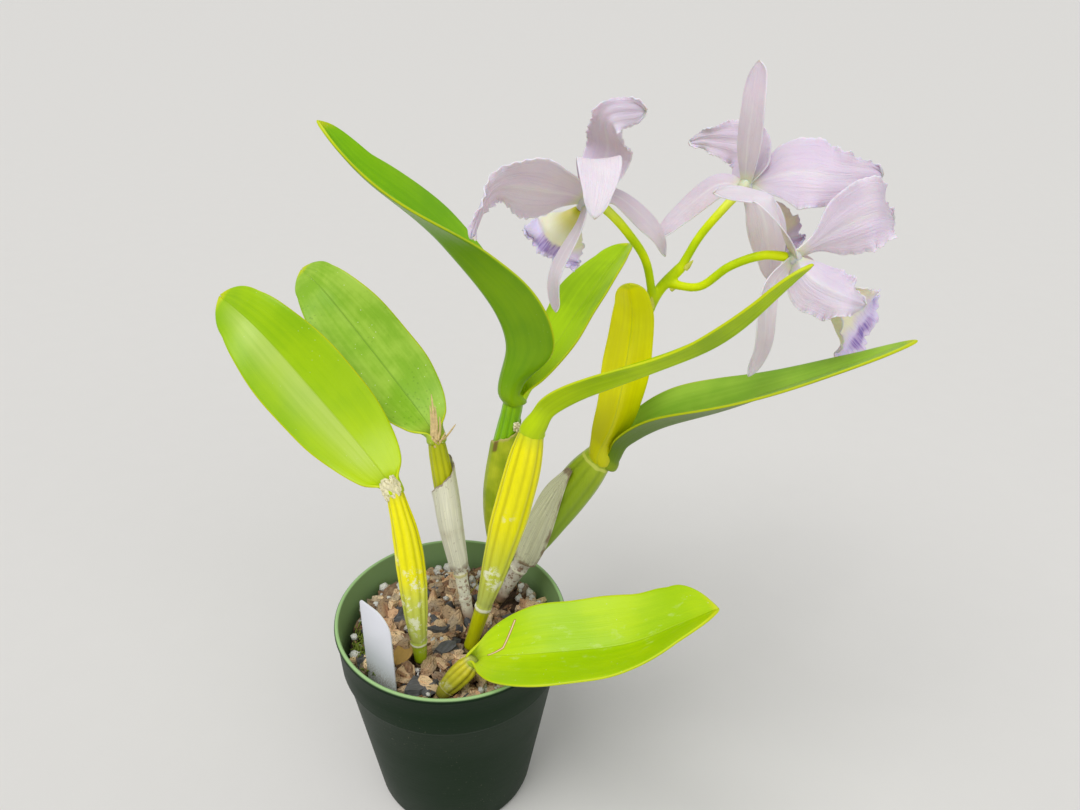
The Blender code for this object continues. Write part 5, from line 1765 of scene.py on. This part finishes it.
class ORCHID_OT_sheaths(bpy.types.Operator):
    """Make the dry papery sheaths and the fresh green one"""

    bl_idname = "orchid.sheaths"
    bl_label = "Sheaths"

    def execute(self, context):
        plant = context.scene.orchid.plant
        white, brown = plant.paper, plant.scorch
        piece = self.wrap(
            "paper_back_left", "back_left", (0.3, 0.785), roll=(168, 158), facing=(0.2, -1, 0), lean=0.12,
            thick=0.55, finish=paper_finish("paper_back_left", white, brown, 0.03), torn=0.35,
        )
        settle(piece, "dry_sheath", "sheath_back_left")
        greyed = paper_finish("paper_flowering", shade(232, 232, 200), brown, 0.07, 0.1, 0.16)
        piece = self.wrap(
            "paper_flowering", "flowering", (0.3, 0.86), roll=(112, 10), facing=(-0.78, -0.5, 0.38),
            lean=0.0, thick=0.55, finish=greyed,
        )
        settle(piece, "dry_sheath", "sheath_flowering")
        piece = self.wrap(
            "green_back_centre", "back_centre", (0.02, 0.835), roll=(172, 168), facing=(0.3, -0.95, 0),
            lean=0.1, thick=0.5, finish=self.green_sheath(brown), tight=0.0, torn=0.35,
        )
        settle(piece, "pseudobulb_green")
        self.scraps()
        return {"FINISHED"}

    def scraps(self):
        """What is left of old scales near the tops of three bulbs: pale crumpled skin and brown shreds."""

        def crumple(s, u, width):
            out = 0.55 * np.sin(13 * s + 8 * u) + 0.3 * np.sin(29 * u + 7 * s)
            return 0.35 * np.sin(17 * s + 5 * u), out, 0.8 * np.sin(11 * u)

        finishes = {
            "pale": plain_finish("husk_pale", shade(236, 228, 188), 0.75, 420.0, 0.8, 0.0006),
            "brown": plain_finish("husk_brown", shade(214, 188, 134), 0.75, 420.0, 0.9, 0.0006),
        }
        for name, (finish, slot, shapes) in HUSKS.items():
            made = []
            for index, (midrib, facing, half_widths) in enumerate(shapes):
                spec = {"midrib": midrib, "facing": facing, "twist": 12, "half_widths": half_widths}
                place = blade(spec, curl=(-1.2, -0.8), waves=crumple if half_widths[1] > 2 else None)
                made.append(sheet(f"{name}_{index}", 20, 12, place))
            settle(thicken(join(name, made), SCALE_THICKNESS, [finishes[finish]], 0), slot)

    def green_sheath(self, brown):
        """The fresh sheath: pale yellow-green, veined, with a thin dry edge."""
        f = Finish("sheath_green", Specular_IOR_Level=0.35)
        s, u = f.along_across()
        where = f.place()
        fibre = f.noise(f.point(s * 2.0, u * 30.0), 1.0, 4.0, 0.6)
        cloud = f.noise(where, 60.0, 3.0)
        base = f.mix(f.step(cloud, 0.35, 0.68), shade(150, 172, 12), shade(196, 206, 40))
        base = f.brighten(base, 0.88 + 0.24 * fibre)
        top = f.step(s + (cloud - 0.5) * 0.03, 0.975, 0.995)
        base = f.mix(top * 0.8, base, shade(196, 180, 110))
        nick = f.window(s, 0.93, 1.0, 0.01) * f.window(u, -0.42, -0.3, 0.03)
        base = f.mix(nick * 0.8, base, brown)
        return f.done(base, 0.42 + 0.15 * fibre, fibre, 0.0003)

    def wrap(self, name, bulb, span, roll, facing, lean, thick, finish, tight=0.75, torn=1.0):
        """A sheath round part of a bulb, with a torn upper edge and fine folds along it. It reaches
        round to each side by the roll in degrees, at its foot and at its top."""
        start, stop = span
        spec = PSEUDOBULBS[bulb]
        path = smooth_path(spec["axis"])
        sides, facings = path_frames(path, facing)

        def place(s, u):
            rip = torn * (0.010 * np.sin(19 * u) + 0.006 * np.sin(47 * u + 1) + 0.004 * np.sin(91 * u))
            share = start + (stop - start) * s + lean * s * u + rip * climb(s, 0.8, 0.2)
            turn = u * np.radians(roll[0] + (roll[1] - roll[0]) * s)
            fold = 0.16 * np.sin(26 * u) + 0.1 * np.sin(9 * u + 7 * s) + 0.35 * climb(s, 0.9, 0.1)
            lift = 0.5 * torn * np.exp(-(((1 - np.abs(u)) / 0.08) ** 2))
            reach = even(spec["radii"], share) * (1 + 0.08 * (tight > 0)) + tight + fold + lift
            around = read(facings, share) * np.cos(turn)[:, None] + read(sides, share) * np.sin(turn)[:, None]
            return read(path, share) + around * reach[:, None]

        return thicken(sheet(name, *SHEATH_GRID, place), thick * MM, [finish])


class ORCHID_OT_flower_stem(bpy.types.Operator):
    """Make the flower stem with its three stalks and small bracts"""

    bl_idname = "orchid.flower_stem"
    bl_label = "Flower stem"

    def execute(self, context):
        plant = context.scene.orchid.plant
        stem = rolled("stem", FLOWER_STEM, lambda s, turn: STEM_RADIUS * (1.02 - 0.12 * s), 90, 28)

        def swell(s, turn):
            return STALK_RADIUS * (1.0 + 0.08 * np.exp(-((s / 0.1) ** 2)) + 0.14 * s**6)

        stalks = []
        for key, stalk in STALKS.items():
            heart = np.array(BLOOMS[key]["heart"], float)
            inward = unit(heart - np.array(stalk[-1], float))
            end = heart - inward * (HEART_RADIUS - 1.0)
            stalks.append(rolled(f"stalk_{key}", stalk + [tuple(end)], swell, 70, 20))
        for stalk in stalks:
            use(stem, "BOOLEAN", operation="UNION", object=stalk, solver="EXACT")
            bpy.data.objects.remove(stalk, do_unlink=True)
        use(stem, "REMESH", mode="VOXEL", voxel_size=STEM_VOXEL)
        use(stem, "SMOOTH", factor=0.6, iterations=7)
        stem.data.shade_smooth()
        stem = fresh("stem_and_stalks")
        dress(stem, stem_finish("stem_green", plant.stem_green))
        settle(stem, "flower_stem", "flower_stem")
        self.bracts()
        return {"FINISHED"}

    def bracts(self):
        """Small dry scales where the stalks leave the stem."""
        made = []
        for index, (foot, lean, size) in enumerate([
            ((98.4, 27.1, 294.0), (-0.6, -0.6, 6.0), 1.5), ((106.5, 27.6, 303.5), (3.0, -0.6, 3.0), 1.2),
            ((112.2, 27.3, 314.0), (3.0, -0.6, 4.8), 1.4),
        ]):
            foot, lean = np.array(foot, float), np.array(lean, float)
            spec = {
                "midrib": [tuple(foot), tuple(foot + lean * 0.5), tuple(foot + lean * 1.1)],
                "facing": (-0.1, -0.95, 0.2), "twist": 0, "half_widths": [size, size * 1.05, size * 0.6, 0.3],
            }
            made.append(sheet(f"bract_{index}", 12, 8, blade(spec, curl=(-1.2, -0.7))))
        bracts = join("bracts", made)
        thicken(bracts, SCALE_THICKNESS, [plain_finish("bract", shade(214, 214, 96), 0.55, 500.0, 0.4)])
        settle(bracts, "flower_stem")


def petal_waves(frill, seed):
    """Waves of a petal's margin: broad ones, fine ones on top, and a crinkled edge."""

    def shift(s, u, width):
        edge = np.abs(u)
        grow = climb(s, 0.22, 0.4)
        turn = 1.5 * (u > 0)
        out = 1.8 * grow * edge**3 * np.sin(2 * math.pi * 3.5 * s + turn)
        crimp = np.sin(2 * math.pi * (13 + 2 * np.sin(5 * s + seed)) * s + turn + seed)
        small = np.sin(2 * math.pi * 27 * s + 3 * np.sin(9 * s) + seed * 2)
        out = out + frill * grow * (edge**7 * crimp * 1.2 + edge**12 * small * 0.6)
        across = -0.5 * frill * grow * edge**5 * np.sign(u) * (1 + crimp * 0.8 + small)
        on = 0.6 * climb(s, 0.9, 0.1) * np.sin(17 * u + seed)
        out = out + 0.22 * np.sin(11 * u + 3 * s + seed) * np.clip(s * 3, 0, 1) * (1 - edge**2)
        return across, out, on

    return shift


def sepal_waves(seed):
    """The slight swell of a sepal, whose margin is plain."""

    def shift(s, u, width):
        grow = np.clip(s * 3, 0, 1)
        out = 0.5 * grow * np.abs(u) ** 3 * np.sin(5 * s + 2 * (u > 0) + seed)
        return 0, out + 0.2 * grow * np.sin(9 * s + 3 * u + seed), 0

    return shift


class ORCHID_OT_blooms(bpy.types.Operator):
    """Make the three blooms: sepals, petals, heart and column"""

    bl_idname = "orchid.blooms"
    bl_label = "Blooms"

    def execute(self, context):
        plant = context.scene.orchid.plant
        inside = tepal_finish("petal_inside", plant.petal, plant.petal_vein)
        outside = tepal_finish("petal_outside", plant.petal_back, shade(204, 186, 220), 0.7)
        sepal_back = tepal_finish("sepal_outside", shade(232, 218, 226), shade(208, 192, 216), 0.8)
        # A lighter copy of the sepals' inner side: painted light for the dorsal sepals, which face the light.
        sepal_inside_lit = tepal_finish("sepal_inside_lit", shade(248, 234, 240), shade(218, 200, 222), 0.8)
        sepal_low = tepal_finish("sepal_low", shade(230, 219, 223), shade(208, 194, 208), 0.8)
        body = tepal_finish("column_body", shade(226, 222, 214), shade(196, 176, 214), 0.4)
        for index, (key, bloom) in enumerate(BLOOMS.items()):
            heart, parts = bloom["heart"], []
            for part, sepal in bloom["sepals"].items():
                waves = sepal_waves(index + len(part))
                place = blade(sepal, (0, 0), (0.3, 0.1), waves, SEPAL_TIP, heart)
                piece = sheet(f"sepal_{key}_{part}", *SEPAL_GRID, place)
                inner = sepal_inside_lit if part == "dorsal" else sepal_low
                parts.append(thicken(piece, plant.petal_thickness, [sepal_back, inner]))
            for part, petal in bloom["petals"].items():
                waves = petal_waves(plant.frill / MM, index * 2 + len(part))
                place = blade(petal, petal.get("rise", (0, 0)), petal["curl"], waves, PETAL_TIP, heart)
                piece = sheet(f"petal_{key}_{part}", *PETAL_GRID, place)
                parts.append(thicken(piece, plant.petal_thickness, [outside, inside]))
            parts.append(self.column(key, bloom, body))
            settle(join(f"flower_{key}", parts), "petal", f"bloom_{key}")
        return {"FINISHED"}

    def column(self, key, bloom, finish):
        """The heart of the bloom with the club-shaped column that stands out of it."""
        heart = np.array(bloom["heart"], float)
        ahead = unit(bloom["column"])
        back = heart - ahead * 3.0
        end = heart + ahead * COLUMN_LENGTH
        droop = unit(bloom["up"]) * -2.6

        def radius_at(s, turn):
            club = even([2.6, 3.2, 2.2, 1.9, 2.0, 2.3, 1.7], s)
            return club * (1 + 0.08 * np.cos(2 * turn)) + 0.2 * np.exp(-(((s - 0.86) / 0.02) ** 2))

        axis = [back, (heart + end) / 2 + droop * 0.8, end + droop]
        piece = rolled(f"column_{key}", axis, radius_at, 48, 28)
        dress(piece, finish)
        return piece


class ORCHID_OT_lips(bpy.types.Operator):
    """Make the three frilled lips"""

    bl_idname = "orchid.lips"
    bl_label = "Lips"

    def execute(self, context):
        plant = context.scene.orchid.plant
        for index, (key, bloom) in enumerate(BLOOMS.items()):
            start, share = bloom["patch"]
            finishes = [
                lip_finish(f"lip_outside_{key}", plant, False, start, share),
                lip_finish(f"lip_inside_{key}", plant, True, start, 0.95),
            ]
            piece = sheet(f"lip_frill_{key}", *LIP_GRID, self.place(key, bloom, index))
            thicken(piece, plant.petal_thickness, finishes, 0)
            settle(piece, "lip", f"lip_{key}")
        return {"FINISHED"}

    def place(self, key, bloom, seed):
        """The lip's surface: rolled round the column at its base, flaring to a frilled lobe."""
        column = unit(bloom["column"])
        up = unit(np.array(bloom["up"]) - column * column.dot(bloom["up"]))
        heart = np.array(bloom["heart"], float)
        path = smooth_path([heart + column * out + up * rise for out, rise in LIP_FLOOR[key]])
        sides, facings = path_frames(path, up)

        def place(s, u):
            edge = np.abs(u)
            width = even(LIP_HALF_WIDTHS, s) * bloom["spread"]
            bend = np.radians(even(LIP_ROLL, s))
            bend = np.where(np.abs(bend) < 0.1, 0.1, bend)
            at = s - 0.16 * u * u * s**4
            grow = climb(s, 0.45, 0.3) * u * u
            wave = 2.2 * grow * np.sin(2 * math.pi * 4.5 * s + u)
            front = climb(s, 0.8, 0.2)
            wave = wave + 1.6 * front * np.sin(9 * u)
            fine = climb(s, 0.4, 0.3) * edge**6
            wave = wave + 0.9 * fine * np.sin(2 * math.pi * 13 * s + 4 * np.sin(6 * s) + seed)
            wave = wave + 0.9 * climb(s, 0.93, 0.07) * np.sin(31 * u + seed)
            at = at + 0.02 * front**2 * np.sin(23 * u + seed)
            x = width / bend * np.sin(u * bend)
            x = x + 0.5 * fine * np.sign(u) * np.sin(2 * math.pi * 19 * s)
            z = width / bend * (1 - np.cos(u * bend)) + wave
            return read(path, at) + read(sides, at) * x[:, None] + read(facings, at) * z[:, None]

        return place


class ORCHID_OT_stage(bpy.types.Operator):
    """Set the pale floor, the soft light and the camera"""

    bl_idname = "orchid.stage"
    bl_label = "Stage"

    def execute(self, context):
        settings = context.scene.orchid.stage
        deselect()
        bpy.ops.mesh.primitive_plane_add(size=60)
        floor = fresh("floor")
        f = Finish("floor_matte", Roughness=0.9, Specular_IOR_Level=0.2)
        grain = f.noise(f.place(), 40.0, 3.0)
        dress(floor, f.done(f.brighten(settings.floor, 0.99 + 0.02 * grain)))
        self.light("key_light", (-0.5, -0.5, 1.2), 40, settings.key_power)
        self.light("fill_light", (0.6, -1.0, 0.75), 60, settings.fill_power)
        world = bpy.data.worlds.new("surround")
        world.use_nodes = True
        surround = world.node_tree.nodes["Background"].inputs
        surround["Color"].default_value = (0.97, 0.98, 1.0, 1)
        surround["Strength"].default_value = settings.sky
        context.scene.world = world
        context.scene.view_settings.view_transform = "Standard"
        self.camera(context)
        return {"FINISHED"}

    def light(self, name, source, spread, power):
        """A wide soft light that comes from the direction of source, the same over the whole floor."""
        turn = (-Vector(source)).to_track_quat("-Z", "Y").to_euler()
        bpy.ops.object.light_add(type="SUN", location=source, rotation=turn)
        lamp = fresh(name)
        lamp.data.angle = math.radians(spread)
        lamp.data.energy = power

    def camera(self, context):
        """The view of the photograph: place, aim and roll were fitted to the pot's rim and band."""
        ahead, right = Vector(CAMERA_FORWARD), Vector(CAMERA_RIGHT)
        up = right.cross(ahead)
        turn = Matrix((right, up, -ahead)).transposed().to_4x4()
        bpy.ops.object.camera_add()
        camera = fresh("photo_view")
        camera.matrix_world = Matrix.Translation(Vector(CAMERA_PLACE) * MM) @ turn
        camera.data.sensor_width = 36
        camera.data.lens = CAMERA_LENS
        camera.data.clip_start = 0.01
        camera.data.clip_end = 200
        context.scene.camera = camera


class ORCHID_PT_panel(bpy.types.Panel):
    """The orchid's pieces and settings"""

    bl_idname = "ORCHID_PT_panel"
    bl_label = "Cattleya orchid"
    bl_space_type = "VIEW_3D"
    bl_region_type = "UI"
    bl_category = "Orchid"

    def draw(self, context):
        layout = self.layout
        settings = context.scene.orchid
        for group in (settings.plant, settings.pot, settings.stage):
            box = layout.box()
            for name in group.bl_rna.properties.keys():
                if name not in ("name", "rna_type"):
                    box.prop(group, name)
        for operator in OPERATORS:
            layout.operator(operator.bl_idname)


GROUPS = (OrchidPlant, OrchidPot, OrchidStage, OrchidSettings)
OPERATORS = (
    ORCHID_OT_stage, ORCHID_OT_pot, ORCHID_OT_potting_mix, ORCHID_OT_plant_label, ORCHID_OT_rhizome,
    ORCHID_OT_pseudobulbs, ORCHID_OT_leaves, ORCHID_OT_sheaths, ORCHID_OT_flower_stem, ORCHID_OT_blooms,
    ORCHID_OT_lips,
)


def register():
    for kind in (*GROUPS, *OPERATORS, ORCHID_PT_panel):
        bpy.utils.register_class(kind)
    bpy.types.Scene.orchid = PointerProperty(type=OrchidSettings)


def unregister():
    del bpy.types.Scene.orchid
    for kind in reversed((*GROUPS, *OPERATORS, ORCHID_PT_panel)):
        bpy.utils.unregister_class(kind)


def main():
    register()
    deselect()
    bpy.ops.orchid.stage()
    bpy.ops.orchid.pot()
    bpy.ops.orchid.potting_mix()
    bpy.ops.orchid.plant_label()
    bpy.ops.orchid.rhizome()
    bpy.ops.orchid.pseudobulbs()
    bpy.ops.orchid.leaves()
    bpy.ops.orchid.sheaths()
    bpy.ops.orchid.flower_stem()
    bpy.ops.orchid.blooms()
    bpy.ops.orchid.lips()
    deselect()
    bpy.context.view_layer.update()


if __name__ == "__main__":
    main()
